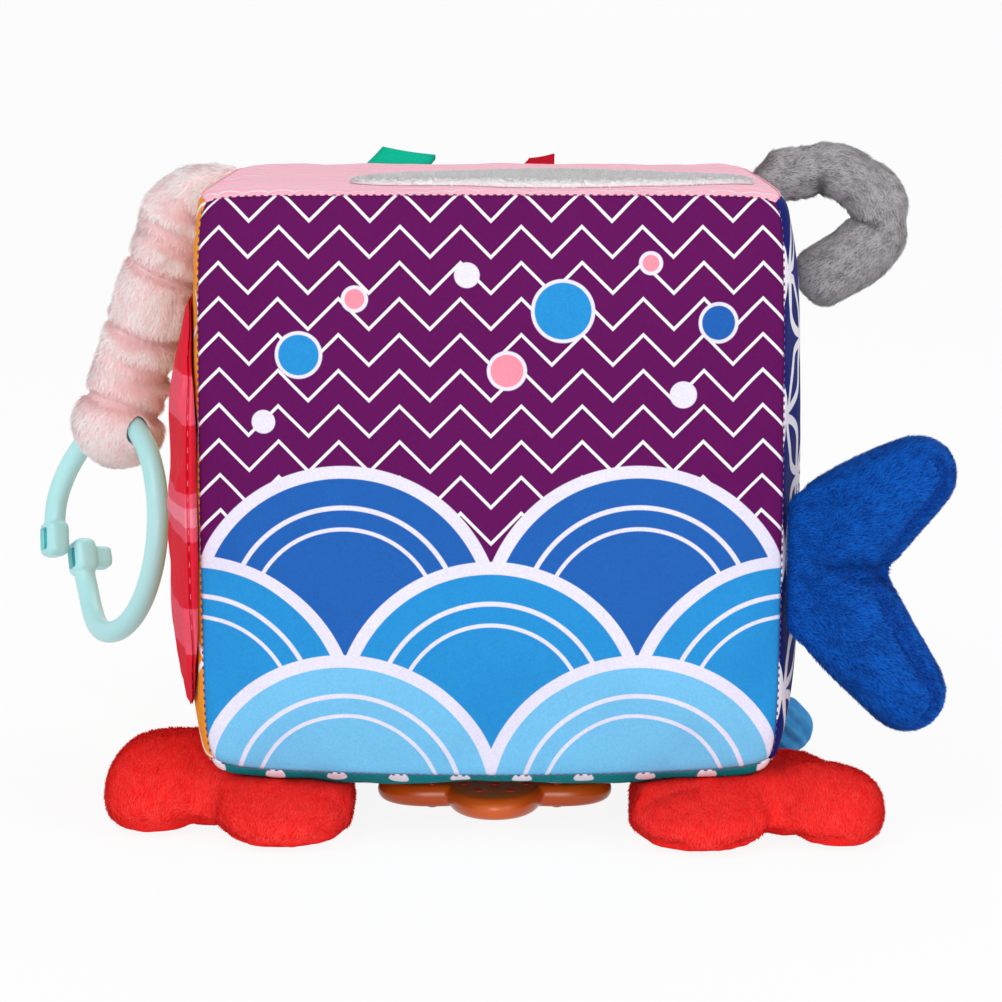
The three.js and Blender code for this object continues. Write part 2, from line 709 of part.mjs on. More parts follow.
function knobSolid(angle) {
  const { point, outward } = ringPlace(angle);
  const forward = new THREE.Vector3().crossVectors(ringAcross, outward);
  const basis = new THREE.Matrix4().makeBasis(forward, ringAcross, outward);
  const knob = new THREE.SphereGeometry(1, KNOB_SIDES, KNOB_RINGS);
  knob.scale(KNOB_LENGTH / 2, KNOB_WIDTH / 2, KNOB_WIDTH / 2);
  const slot = new THREE.BoxGeometry(KNOB_SLOT_LENGTH, KNOB_WIDTH + GAP, KNOB_SLOT_WIDTH);
  const solid = toSolid(knob.applyMatrix4(basis).translate(point.x, point.y, point.z));
  const hole = toSolid(slot.applyMatrix4(basis).translate(point.x, point.y, point.z));
  return { solid, hole };
}

function ringGeometry() {
  const firstAngle = RING_SPLIT - RING_OVERLAP / 2 - 360;
  const lastAngle = RING_SPLIT + RING_OVERLAP / 2;
  const rings = [];
  for (let step = 0; step <= RING_STEPS; step += 1) {
    const { point, outward } = ringPlace(firstAngle + ((lastAngle - firstAngle) * step) / RING_STEPS);
    rings.push(ovalRing(point, outward, ringAcross, RING_WIRE / 2, RING_WIRE / 2, RING_SIDES));
  }
  const wire = toSolid(ringSolid(rings, ringPlace(firstAngle).point, ringPlace(lastAngle).point));
  const knobs = [knobSolid(firstAngle), knobSolid(lastAngle)];
  const holes = joined(knobs.map((knob) => knob.hole));
  return toGeometry(joined([wire, ...knobs.map((knob) => knob.solid)]).subtract(holes));
}

addPiece(addPivot('ring_pivot', ringTop), 'link_ring', ringGeometry(), 0xb2e6e6, 0.35);

// Trunk on the top right edge, curled until its tip meets the right panel

const trunkEdge = cubePoint(vec(1, TRUNK_BACK / HALF, 1), HALF);
const trunkRoot = trunkEdge.clone().add(vec(TAB_GAP, 0, 0));
const trunkTurn = -radians(TRUNK_CURL);
const trunkSpine = bentSpine(trunkRoot, radians(TRUNK_RISE), TRUNK_REACH, TRUNK_CURL_RADIUS, trunkTurn);
const TRUNK_BEND_LENGTH = TRUNK_REACH + TRUNK_CURL_RADIUS * radians(TRUNK_CURL);

function trunkLength() {
  const bendEnd = trunkSpine(TRUNK_BEND_LENGTH);
  const panel = rightAt(TRUNK_BACK, bendEnd.point.z);
  return TRUNK_BEND_LENGTH + (bendEnd.point.x - panel - GAP) / Math.abs(bendEnd.heading.x) - GAP;
}

function trunkSolid(inset) {
  const length = trunkLength();
  const bend = TRUNK_REACH + (TRUNK_BEND_LENGTH - TRUNK_REACH) / 2;
  const toBend = (along) => ease(along, 0, bend, TRUNK_ROOT_WIDTH, TRUNK_BEND_WIDTH);
  const fromBend = (along) => ease(along, bend, length, 0, TRUNK_TIP_WIDTH - TRUNK_BEND_WIDTH);
  const profile = {
    length,
    cap: TRUNK_TIP_WIDTH / 2,
    stations: evenStations(length, TRUNK_STATIONS),
    half: (along) => (toBend(along) + fromBend(along)) / 2,
  };
  return toSolid(limbGeometry(profile, trunkSpine, BACK, inset));
}

const trunk = addPivot('trunk_pivot', trunkEdge);
addStuffed(trunk, 'trunk', ['front', 'back'], stuffedPieces(trunkSolid, BACK, trunkEdge.y), 0x878284);

// Claws: pincers, palm and forearm joined, cut by the cube that presses on them and by the table

const clawSeat = bottomAt(CLAW_MIDDLE, CLAW_ROOT_BACK) - GAP;

// Outline of a claw: forearm, palm and two pincers, outward from the claw's middle and to the front.
function clawOutline() {
  const path = new THREE.Path();
  path.moveTo(FOREARM_WIDTH / 2, -CLAW_ROOT_BACK);
  path.lineTo(FOREARM_WIDTH / 2, -FOREARM_FRONT);
  path.quadraticCurveTo(PALM_OUTER, PALM_FRONT / 2, PALM_OUTER, PALM_FRONT);
  addTip(path, OUTER_TIP);
  path.lineTo(CLAW_NOTCH.x, CLAW_NOTCH.y);
  addTip(path, INNER_TIP);
  path.quadraticCurveTo(-PALM_INNER, PALM_FRONT, -FOREARM_WIDTH / 2, -FOREARM_FRONT);
  path.lineTo(-FOREARM_WIDTH / 2, -CLAW_ROOT_BACK);
  return path.getPoints(OUTLINE_STEPS);
}

// The cube presses on the claw, the table flattens its sole, and the sole rises to the tab at its root.
function clawSolid(side, inset) {
  const middle = (CLAW_HEIGHT - CLAW_SOLE_CUT) / 2;
  const halfThick = (CLAW_HEIGHT + CLAW_SOLE_CUT) / 2;
  const place = (point, height) => vec(side * (CLAW_MIDDLE + point.x), -point.y, middle + height);
  const tabBottom = vec(0, CLAW_ROOT_BACK, clawSeat - TAB_THICK);
  const claw = pillowSolid(clawOutline(), halfThick, place, inset)
    .subtract(toSolid(cubeGeometry(HALF + GAP + inset)))
    .intersect(pastPlane(vec(0, 0, 0), UP, inset))
    .intersect(pastPlane(tabBottom, vec(0, -CLAW_ROOT_SLOPE, 1), inset));
  return inset > 0 ? claw.intersect(pastPlane(tabBottom, BACK.clone().negate(), TAB_LENGTH + inset)) : claw;
}

for (const [name, side] of [['claw_left', -1], ['claw_right', 1]]) {
  const claw = addPivot(`${name}_pivot`, vec(side * CLAW_MIDDLE, CLAW_ROOT_BACK, clawSeat));
  const pieces = stuffedPieces((inset) => clawSolid(side, inset), UP, CLAW_HEIGHT / 2);
  addStuffed(claw, name, ['sole', 'top'], pieces, 0xf52828);
}

// Gathered puff on the bottom right edge

const puffEdge = cubePoint(vec(1, PUFF_BACK / HALF, -1), HALF);

function puffSolid(inset) {
  const heading = vec(Math.cos(radians(PUFF_DIP)), 0, -Math.sin(radians(PUFF_DIP)));
  const profile = {
    length: PUFF_LENGTH,
    cap: PUFF_WIDTH / 2,
    stations: evenStations(PUFF_LENGTH, PUFF_STATIONS),
    half: () => PUFF_WIDTH / 2,
  };
  const start = puffEdge.clone().addScaledVector(heading, TAB_GAP);
  return toSolid(limbGeometry(profile, straightSpine(start, heading), BACK, inset));
}

const puff = addPivot('puff_pivot', puffEdge);
addStuffed(puff, 'puff', ['front', 'back'], stuffedPieces(puffSolid, BACK, puffEdge.y), 0x3c96d2);

// Star teether on its ribbon loop

const TEETHER_BOTTOM = RIBBON_FLOOR_GAP + RIBBON_THICK + GAP;
const ribbonArm = radians(TEETHER_RIBBON_ARM);
const ribbonHeading = vec(Math.cos(ribbonArm), Math.sin(ribbonArm), 0);
const ribbonAcross = vec(-Math.sin(ribbonArm), Math.cos(ribbonArm), 0);
const teetherMiddle = vec(TEETHER_RIGHT, TEETHER_BACK, 0);

function teetherGeometry() {
  const steps = TEETHER_ARM_STEPS * TEETHER_ARMS;
  const middleRadius = (TEETHER_RADIUS + TEETHER_WAIST) / 2 - TEETHER_BEVEL;
  const waveHeight = (TEETHER_RADIUS - TEETHER_WAIST) / 2;
  const outline = Array.from({ length: steps }, (unused, step) => {
    const angle = (2 * Math.PI * step) / steps;
    const radius = middleRadius + waveHeight * Math.cos(TEETHER_ARMS * (angle - ribbonArm));
    return new THREE.Vector2(radius * Math.cos(angle), radius * Math.sin(angle));
  });
  const star = new THREE.ExtrudeGeometry(new THREE.Shape(outline), {
    depth: TEETHER_THICK - 2 * TEETHER_BEVEL,
    bevelThickness: TEETHER_BEVEL,
    bevelSize: TEETHER_BEVEL,
    bevelSegments: 2,
  });
  star.translate(teetherMiddle.x, teetherMiddle.y, TEETHER_BOTTOM + TEETHER_BEVEL);
  const slotOut = TEETHER_RADIUS - TEETHER_SLOT_RIM - TEETHER_SLOT_WIDTH / 2;
  const slotAt = teetherMiddle.clone().addScaledVector(ribbonHeading, slotOut);
  const slot = new THREE.BoxGeometry(TEETHER_SLOT_WIDTH, TEETHER_SLOT_LENGTH, 4 * TEETHER_THICK);
  slot.rotateZ(ribbonArm);
  slot.translate(slotAt.x, slotAt.y, TEETHER_BOTTOM);
  return toGeometry(toSolid(star).subtract(toSolid(slot)));
}

// Loop of ribbon: through the slot, under the rim, and up to the bottom panel as a doubled strap.
const rimOuter = TEETHER_RADIUS + GAP + RIBBON_THICK;
const rimInner = TEETHER_RADIUS - TEETHER_SLOT_RIM - GAP - RIBBON_THICK;
const ribbonTop = teetherMiddle.clone().addScaledVector(ribbonHeading, (rimOuter + rimInner) / 2);
ribbonTop.z = bottomAt(ribbonTop.x, ribbonTop.y) - TAB_GAP;

function ribbonGeometry() {
  const half = (rimOuter - rimInner) / 2;
  const bottom = RIBBON_FLOOR_GAP - ribbonTop.z;
  const top = -RIBBON_STRAP;
  const outline = new THREE.Shape([
    new THREE.Vector2(-half, bottom),
    new THREE.Vector2(half, bottom),
    new THREE.Vector2(half, top - half),
    new THREE.Vector2(RIBBON_THICK, top),
    new THREE.Vector2(RIBBON_THICK, 0),
    new THREE.Vector2(-RIBBON_THICK, 0),
    new THREE.Vector2(-RIBBON_THICK, top),
    new THREE.Vector2(-half, top - half),
  ]);
  outline.holes.push(new THREE.Path([
    new THREE.Vector2(-half + RIBBON_THICK, bottom + RIBBON_THICK),
    new THREE.Vector2(half - RIBBON_THICK, bottom + RIBBON_THICK),
    new THREE.Vector2(half - RIBBON_THICK, top - half - RIBBON_THICK / 2),
    new THREE.Vector2(0, top - RIBBON_THICK),
    new THREE.Vector2(-half + RIBBON_THICK, top - half - RIBBON_THICK / 2),
  ]));
  const strip = new THREE.ExtrudeGeometry(outline, { depth: RIBBON_WIDTH, bevelEnabled: false });
  strip.translate(0, 0, -RIBBON_WIDTH / 2);
  strip.applyMatrix4(new THREE.Matrix4().makeBasis(ribbonHeading, UP, ribbonAcross.clone().negate()));
  strip.translate(ribbonTop.x, ribbonTop.y, ribbonTop.z);
  return toGeometry(toSolid(strip));
}

const teether = addPivot('teether_pivot', ribbonTop);
addPiece(teether, 'teether_ribbon', ribbonGeometry(), 0x1c2a66, 0.6);
addPiece(teether, 'teether', teetherGeometry(), 0xf5923c, 0.3);

// Stand the toy with the middle of its bounding box's bottom on the origin

toy.updateMatrixWorld(true);
const bounds = new THREE.Box3().setFromObject(toy, true);
const standing = bounds.getCenter(new THREE.Vector3());
toy.position.set(-standing.x, -standing.y, -bounds.min.z);

export default toy;
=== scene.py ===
# %% [markdown]
# # Dressing a soft activity cube
# A baby's activity cube is a foam block in six printed cloth panels. Plush limbs, a padded flap,
# ribbon tags, a link ring and a teether are sewn into its seams. The CAD frame gives every piece its
# place, and this lesson gives each one its cloth, pile, stitches or plastic. Lengths are in metres,
# and MM turns a size in millimetres into one.

import json
import math
from contextlib import contextmanager

import bmesh
import bpy
import numpy as np
from mathutils import Matrix, Vector, noise
from mathutils.bvhtree import BVHTree
from mathutils.kdtree import KDTree

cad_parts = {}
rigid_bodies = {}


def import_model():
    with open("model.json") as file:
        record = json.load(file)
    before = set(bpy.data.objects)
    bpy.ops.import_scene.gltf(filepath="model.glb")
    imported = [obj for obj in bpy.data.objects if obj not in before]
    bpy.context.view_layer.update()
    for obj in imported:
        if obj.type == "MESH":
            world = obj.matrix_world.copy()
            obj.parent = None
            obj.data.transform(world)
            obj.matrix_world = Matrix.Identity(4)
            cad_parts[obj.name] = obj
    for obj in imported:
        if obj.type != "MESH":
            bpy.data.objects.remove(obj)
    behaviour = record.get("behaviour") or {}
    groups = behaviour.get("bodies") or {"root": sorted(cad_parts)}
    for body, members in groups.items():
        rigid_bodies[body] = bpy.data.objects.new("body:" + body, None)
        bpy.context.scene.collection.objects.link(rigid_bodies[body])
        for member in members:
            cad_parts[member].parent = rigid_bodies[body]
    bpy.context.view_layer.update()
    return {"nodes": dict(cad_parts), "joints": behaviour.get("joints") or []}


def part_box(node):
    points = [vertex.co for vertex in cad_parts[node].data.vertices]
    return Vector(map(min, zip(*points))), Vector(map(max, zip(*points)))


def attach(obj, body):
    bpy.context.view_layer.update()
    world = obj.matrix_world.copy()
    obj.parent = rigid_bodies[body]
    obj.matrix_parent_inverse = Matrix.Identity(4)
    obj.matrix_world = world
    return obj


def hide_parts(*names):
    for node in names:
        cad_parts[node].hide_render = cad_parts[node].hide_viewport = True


for leftover in list(bpy.data.objects):
    bpy.data.objects.remove(leftover)
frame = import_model()
scene = bpy.context.scene
scene.view_settings.view_transform = "Standard"

MM = 0.001
JOINTS = {joint["name"]: joint for joint in frame["joints"]}


def pivot(joint):
    return np.array(JOINTS[joint]["pos_m"])


def middle_of(node):
    low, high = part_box(node)
    return np.array((low + high) / 2)


CUBE_MIDDLE = np.array([
    middle_of("front_panel")[0],
    middle_of("right_panel")[1],
    middle_of("front_panel")[2],
])
print("cube middle", CUBE_MIDDLE.round(4))

# %% [markdown]
# ## Helpers
# A few helpers put meshes into the scene, build node trees and make plain materials. A value in a
# node tree is wrapped as a Field, so that sums and products of fields can be written as in Python:
# each one adds a Math node to the tree.

# %% Helpers for objects


def show(name, data):
    """Object in the scene for a mesh, a lamp or a camera."""
    thing = bpy.data.objects.new(name, data)
    scene.collection.objects.link(thing)
    return thing


def new_object(name, verts, faces, material=None, edges=()):
    mesh = bpy.data.meshes.new(name)
    mesh.from_pydata([tuple(v) for v in verts], edges, [tuple(f) for f in faces])
    mesh.validate()
    mesh.shade_smooth()
    if material:
        mesh.materials.append(material)
    return show(name, mesh)


# %% Helpers for nodes
NUMBER = "NodeSocketFloat"
COLOUR = "NodeSocketColor"
PLACE = "NodeSocketVector"
MATERIAL = "NodeSocketMaterial"


class Field:
    """Value at a socket of a node tree."""

    def __init__(self, socket):
        self.socket = socket

    def __add__(self, other):
        return calc("ADD", self, other)

    def __sub__(self, other):
        return calc("SUBTRACT", self, other)

    def __rsub__(self, other):
        return calc("SUBTRACT", other, self)

    def __mul__(self, other):
        return calc("MULTIPLY", self, other)


def feed(socket, value):
    """Set a socket to a value, or link it to a field."""
    if isinstance(value, Field):
        socket.id_data.links.new(value.socket, socket)
    else:
        socket.default_value = value


def add_node(tree, kind, settings=(), **values):
    """Place a node, set its properties and feed its inputs, with spaces in a name written as _."""
    node = tree.nodes.new(kind)
    for label, value in dict(settings).items():
        setattr(node, label, value)
    for label, value in values.items():
        feed(node.inputs[label.replace("_", " ")], value)
    return node


def result(tree, kind, settings=(), **values):
    """First output of a new node."""
    return Field(add_node(tree, kind, settings, **values).outputs[0])


def tree_of(*values):
    """Tree of the first field among some values."""
    return next(value.socket.id_data for value in values if isinstance(value, Field))


def calc(operation, *values):
    """Output of a Math node."""
    node = add_node(tree_of(*values), "ShaderNodeMath", {"operation": operation})
    for socket, value in zip(node.inputs, values):
        feed(socket, value)
    return Field(node.outputs[0])


def mix(factor, first, second, blend="MIX"):
    """Output of a colour Mix node."""
    values = (factor, first, second)
    settings = {"data_type": "RGBA", "blend_type": blend}
    node = add_node(tree_of(*values), "ShaderNodeMix", settings)
    for number, value in zip((0, 6, 7), values):
        feed(node.inputs[number], value)
    return Field(node.outputs[2])


def rising(value, low, high):
    """Mask that goes smoothly from 0 at low to 1 at high."""
    return result(
        tree_of(value), "ShaderNodeMapRange", {"interpolation_type": "SMOOTHSTEP"},
        Value=value, From_Min=low, From_Max=high)


def noise_of(place, scale, detail=2.0):
    """Noise from 0 to 1 at a place."""
    return result(tree_of(place), "ShaderNodeTexNoise", Vector=place, Scale=scale, Detail=detail)


def object_place(tree):
    return Field(tree.nodes.new("ShaderNodeTexCoord").outputs["Object"])


def attribute(tree, name, output="Fac"):
    node = add_node(tree, "ShaderNodeAttribute", {"attribute_name": name})
    return Field(node.outputs[output])


def new_group(name, inputs, outputs, kind="ShaderNodeTree"):
    """Empty node group with named sockets, a function that gives its inputs, and its outputs."""
    group = bpy.data.node_groups.new(name, kind)
    for way, sockets in (("INPUT", inputs), ("OUTPUT", outputs)):
        for label, socket in sockets.items():
            group.interface.new_socket(name=label, in_out=way, socket_type=socket)
    entry = group.nodes.new("NodeGroupInput")

    def given(label):
        return Field(entry.outputs[label])

    return group, given, group.nodes.new("NodeGroupOutput").inputs


def use_group(group, **values):
    """Outputs of a group that is placed in the tree of the fields fed to it."""
    node = add_node(tree_of(*values.values()), "ShaderNodeGroup", {"node_tree": group}, **values)
    return {socket.name: Field(socket) for socket in node.outputs}


# %% Helpers for materials


def srgb(red, green, blue):
    """Linear colour of a colour that is written from 0 to 255."""
    parts = [part / 255 for part in (red, green, blue)]
    line = [p / 12.92 if p <= 0.04045 else ((p + 0.055) / 1.055) ** 2.4 for p in parts]
    return (*line, 1.0)


def new_material(name, roughness, **constants):
    """Material with a Principled shader, and that shader."""
    material = bpy.data.materials.new(name)
    material.use_nodes = True
    shader = material.node_tree.nodes["Principled BSDF"]
    shader.inputs["Roughness"].default_value = roughness
    for label, value in constants.items():
        shader.inputs[label.replace("_", " ")].default_value = value
    return material, shader


def add_bump(shader, height, strength, distance):
    feed(shader.inputs["Normal"], result(
        shader.id_data, "ShaderNodeBump", Height=height, Strength=strength, Distance=distance))


def mottled(name, dark, light, roughness, clouds, grain=None, relief=(), **constants):
    """Material in clouds of two colours. Clouds and a grain in relief are a noise's scale and detail."""
    material, shader = new_material(name, roughness, **constants)
    place = object_place(material.node_tree)
    feed(shader.inputs["Base Color"], mix(noise_of(place, *clouds), dark, light))
    if grain:
        add_bump(shader, noise_of(place, *grain), *relief)
    return material


def blend_shaders(tree, share, first, second):
    """Show a mix of two shaders as a material's surface."""
    blend = tree.nodes.new("ShaderNodeMixShader")
    for socket, value in zip(blend.inputs, (share, Field(first.outputs[0]), Field(second.outputs[0]))):
        feed(socket, value)
    feed(tree.nodes["Material Output"].inputs["Surface"], Field(blend.outputs[0]))


def seen_share(tree):
    """1 where a ray shows a thing to the camera, straight, mirrored or through glass, and else 0."""
    rays = tree.nodes.new("ShaderNodeLightPath").outputs
    seen = calc("MAXIMUM", Field(rays["Is Camera Ray"]), Field(rays["Is Glossy Ray"]))
    return calc("MAXIMUM", seen, Field(rays["Is Transmission Ray"]))


# %% [markdown]
# ## Camera, floor and light
# The camera stands where the picture was taken from: almost a metre in front, a little above the
# cube, and tilted down. The floor runs up into a wall behind the toy, so there is no horizon. Four
# wide lamps and a pale world give soft light at which a colour looks as it is written.

# %% Camera
FRAME_PIXELS = 1002
FOCAL_PIXELS = 3136
CAMERA_TILT = 9
CAMERA_FROM_CUBE = np.array([2.55, -865.9, 121.4]) * MM


def add_camera():
    data = bpy.data.cameras.new("camera")
    data.lens = data.sensor_width * FOCAL_PIXELS / FRAME_PIXELS
    camera = show("camera", data)
    camera.location = CUBE_MIDDLE + CAMERA_FROM_CUBE
    camera.rotation_euler = (math.radians(90 - CAMERA_TILT), 0, 0)
    scene.camera = camera
    print("camera lens", round(data.lens, 1))


add_camera()

# %% Floor and wall
FLOOR_FRONT = -4.0
FLOOR_BACK = 1.2
WALL_BEND = 0.6
WALL_TOP = 2.4
FLOOR_WIDTH = 9.0
FLOOR_WHITE = 0.9


def add_floor():
    bend = np.linspace(0, math.pi / 2, 12)
    rows = [(FLOOR_FRONT, 0.0)]
    rows += [(FLOOR_BACK + WALL_BEND * math.sin(a), WALL_BEND * (1 - math.cos(a))) for a in bend]
    rows.append((FLOOR_BACK + WALL_BEND, WALL_TOP))
    verts = [(side * FLOOR_WIDTH / 2, y, z) for y, z in rows for side in (-1, 1)]
    faces = [(2 * i, 2 * i + 1, 2 * i + 3, 2 * i + 2) for i in range(len(rows) - 1)]
    white = (FLOOR_WHITE, FLOOR_WHITE, FLOOR_WHITE, 1)
    material, shader = new_material("floor_white", 0.95, Base_Color=white)
    tree = material.node_tree
    glow = tree.nodes.new("ShaderNodeEmission")
    blend_shaders(tree, seen_share(tree) * FLOOR_WHITE, shader, glow)
    new_object("floor", verts, faces, material)
    print("floor rows", len(rows))


add_floor()

# %% Light
WORLD_LIGHT = 0.42
LAMPS = {
    "key": {"place": (-0.75, -1.1, 1.35), "size": 1.1, "power": 12.5},
    "fill": {"place": (1.1, -0.9, 0.75), "size": 1.2, "power": 7.0},
    "low": {"place": (0.0, -1.3, 0.16), "size": 0.6, "power": 6.5},
    "rear": {"place": (0.3, 0.9, 1.4), "size": 1.0, "power": 5.0},
}


def add_light():
    world = bpy.data.worlds.new("studio")
    scene.world = world
    world.use_nodes = True
    back = world.node_tree.nodes["Background"]
    back.inputs["Color"].default_value = (1, 1, 1, 1)
    feed(back.inputs["Strength"], seen_share(world.node_tree) * (1 - WORLD_LIGHT) + WORLD_LIGHT)
    for name, lamp in LAMPS.items():
        data = bpy.data.lights.new(name, "AREA")
        data.energy = lamp["power"]
        data.size = lamp["size"]
        light = show(name, data)
        light.location = lamp["place"]
        aim = Vector(CUBE_MIDDLE) - light.location
        light.rotation_euler = aim.to_track_quat("-Z", "Y").to_euler()
    print("lamps", ", ".join(LAMPS))


add_light()

# %% [markdown]
# ## Meshes and cloth
# These helpers turn arrays of points into meshes, copy the CAD solids, and run Blender's Cloth.
# Padded cloth is made by simulation: the shape has even cells, its sewn edges are pinned, and
# pressure from inside swells it. A cap on the movement keeps it in the space of its solid.

# %% Helpers for meshes
WELD = 0.01 * MM


def smooth_step(value, low, high):
    share = np.clip((value - low) / (high - low), 0, 1)
    return share * share * (3 - 2 * share)


def points_of(thing):
    points = np.empty(len(thing.data.vertices) * 3)
    thing.data.vertices.foreach_get("co", points)
    return points.reshape(-1, 3)


def normals_of(thing):
    normals = np.empty(len(thing.data.vertices) * 3)
    thing.data.vertex_normals.foreach_get("vector", normals)
    return normals.reshape(-1, 3)


def place_points(thing, points):
    thing.data.vertices.foreach_set("co", np.asarray(points, dtype=np.float32).ravel())
    thing.data.update()


def surface_of(thing):
    polygons = [tuple(face.vertices) for face in thing.data.polygons]
    return BVHTree.FromPolygons([tuple(p) for p in points_of(thing)], polygons)


def grid_faces(rows, columns):
    """Quads of a grid of points that is listed row by row."""
    return [
        (j * columns + i, j * columns + i + 1, (j + 1) * columns + i + 1, (j + 1) * columns + i)
        for j in range(rows - 1) for i in range(columns - 1)
    ]


def settle(thing):
    """Turn an object's modifiers into its plain mesh."""
    bpy.context.view_layer.update()
    evaluated = thing.evaluated_get(bpy.context.evaluated_depsgraph_get())
    mesh = bpy.data.meshes.new_from_object(evaluated)
    old = thing.data
    thing.modifiers.clear()
    thing.data = mesh
    bpy.data.meshes.remove(old)
    mesh.name = thing.name
    mesh.shade_smooth()


def subdivide(thing):
    modifier = thing.modifiers.new("rounding", "SUBSURF")
    modifier.levels = 1
    modifier.render_levels = 1
    settle(thing)


def thicken(thing, thick, offset):
    modifier = thing.modifiers.new("cloth", "SOLIDIFY")
    modifier.thickness = thick
    modifier.offset = offset
    settle(thing)


def remesh(thing, cell, smoothing):
    """Rebuild a mesh in even cells, and smooth it."""
    even = thing.modifiers.new("even", "REMESH")
    even.mode = "VOXEL"
    even.voxel_size = cell
    thing.modifiers.new("smooth", "SMOOTH").iterations = smoothing
    settle(thing)


def cut_out(thing, other):
    """Cut a solid out of an object, and delete it."""
    modifier = thing.modifiers.new("cut", "BOOLEAN")
    modifier.operation = "DIFFERENCE"
    modifier.object = other
    modifier.solver = "EXACT"
    settle(thing)
    bpy.data.objects.remove(other)


@contextmanager
def editing(mesh):
    """Edit a mesh as a bmesh, and write it back."""
    shape = bmesh.new()
    shape.from_mesh(mesh)
    yield shape
    shape.to_mesh(mesh)
    shape.free()


def face_outwards(thing):
    with editing(thing.data) as shape:
        bmesh.ops.recalc_face_normals(shape, faces=shape.faces)


def keep_largest(thing):
    """Delete every loose part of a mesh but the largest."""
    with editing(thing.data) as shape:
        left = set(shape.verts)
        parts = []
        while left:
            part = {left.pop()}
            edge = list(part)
            while edge:
                vert = edge.pop()
                fresh = {e.other_vert(vert) for e in vert.link_edges} & left
                left -= fresh
                part |= fresh
                edge.extend(fresh)
            parts.append(part)
        parts.sort(key=len)
        bmesh.ops.delete(shape, geom=[v for part in parts[:-1] for v in part], context="VERTS")
    face_outwards(thing)


def even_skin(name, nodes, cell, smoothing, webs=()):
    """One skin of even cells over the joined solids of some CAD nodes, and ovals that fill gaps."""
    mesh = bpy.data.meshes.new(name)
    with editing(mesh) as shape:
        for node in nodes:
            shape.from_mesh(frame["nodes"][node].data)
        bmesh.ops.remove_doubles(shape, verts=shape.verts, dist=WELD)
        for middle, radii in webs:
            oval = bmesh.ops.create_uvsphere(shape, u_segments=24, v_segments=16, radius=1.0)
            for vert in oval["verts"]:
                vert.co = Vector(middle + np.array(vert.co) * radii)
    skin = show(name, mesh)
    remesh(skin, cell, smoothing)
    keep_largest(skin)
    return skin


def put_on(piece, body, slot, *nodes):
    """Say which body a piece rides on and the CAD nodes that it shows. The slot is not used."""
    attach(piece, body)
    if nodes:
        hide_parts(*nodes)
    print(piece.name, "has", len(piece.data.polygons), "faces and rides on", body)


# %% Cloth simulation
CLOTH_FRAMES = 20
CLOTH_MASS = 0.15
CLOTH_STRETCH = 15
CLOTH_SHEAR = 5


def swell(thing, pinned, pressure, slack, cap, bending=0.5):
    """Swell a closed cloth by pressure from inside, with some points pinned and its movement capped."""
    start = points_of(thing)
    pins = thing.vertex_groups.new(name="pins")
    pins.add([int(i) for i in np.flatnonzero(pinned)], 1.0, "REPLACE")
    cloth = thing.modifiers.new("cloth", "CLOTH")
    rules = cloth.settings
    rules.quality = 5
    rules.mass = CLOTH_MASS
    rules.tension_stiffness = CLOTH_STRETCH
    rules.compression_stiffness = CLOTH_STRETCH
    rules.shear_stiffness = CLOTH_SHEAR
    rules.bending_stiffness = bending
    rules.use_pressure = True
    rules.uniform_pressure_force = pressure
    rules.shrink_min = -slack
    rules.vertex_group_mass = "pins"
    rules.effector_weights.gravity = 0
    cloth.collision_settings.use_collision = False
    cloth.point_cache.frame_start = 1
    cloth.point_cache.frame_end = CLOTH_FRAMES
    for step in range(1, CLOTH_FRAMES + 1):
        scene.frame_set(step)
    evaluated = thing.evaluated_get(bpy.context.evaluated_depsgraph_get())
    move = points_of(evaluated) - start
    thing.modifiers.clear()
    thing.vertex_groups.clear()
    scene.frame_set(1)
    length = np.linalg.norm(move, axis=1)
    kept = np.minimum(length, cap) / np.maximum(length, 1e-9)
    place_points(thing, start + move * kept[:, None])
    print(thing.name, "swelled by up to", round(length.max() / MM, 2), "mm before the cap")


# %% [markdown]
# ## Printed cloth
# The panels are a thin woven polyester with bright prints. The threads are a small checked relief
# and a slight change of shade, shared by all the prints as one node group. Each print is drawn with
# arithmetic on the panel's own UV map, in millimetres from the panel's middle, so that it follows the
# cloth over every swell and pucker.

# %% Woven threads, shared by every printed cloth
THREAD = 0.42
FADE_SCALE = 55.0
SPECK_SCALE = 1700.0
THREAD_SHADE = 0.1
FADE_SHADE = 0.1
SPECK_SHADE = 0.3
LEAST_SHADE = 0.71


def weave_group():
    group, given, out = new_group(
        "woven_threads", {"Across": NUMBER, "Up": NUMBER, "Place": PLACE, "Colour": COLOUR},
        {"Colour": COLOUR, "Height": NUMBER})
    turn = 2 * math.pi / THREAD
    height = calc("SINE", given("Across") * turn) * calc("SINE", given("Up") * turn) * 0.5 + 0.5
    fade = noise_of(given("Place"), FADE_SCALE, 3.0)
    speck = noise_of(given("Place"), SPECK_SCALE)
    shade = height * THREAD_SHADE + fade * FADE_SHADE + speck * SPECK_SHADE + LEAST_SHADE
    feed(out["Colour"], mix(1.0, given("Colour"), shade, "MULTIPLY"))
    feed(out["Height"], height)
    return group


WEAVE = weave_group()

# %% Print motifs, each a node group
LINE_BLUR = 0.12


def motif(name, inputs, output):
    return new_group(name, dict.fromkeys(("Across", "Up", "Pitch") + inputs, NUMBER), {output: NUMBER})


def repeated(place, half):
    """Place from the middle of a pattern that repeats at twice half."""
    return calc("WRAP", place, half, half * -1.0)


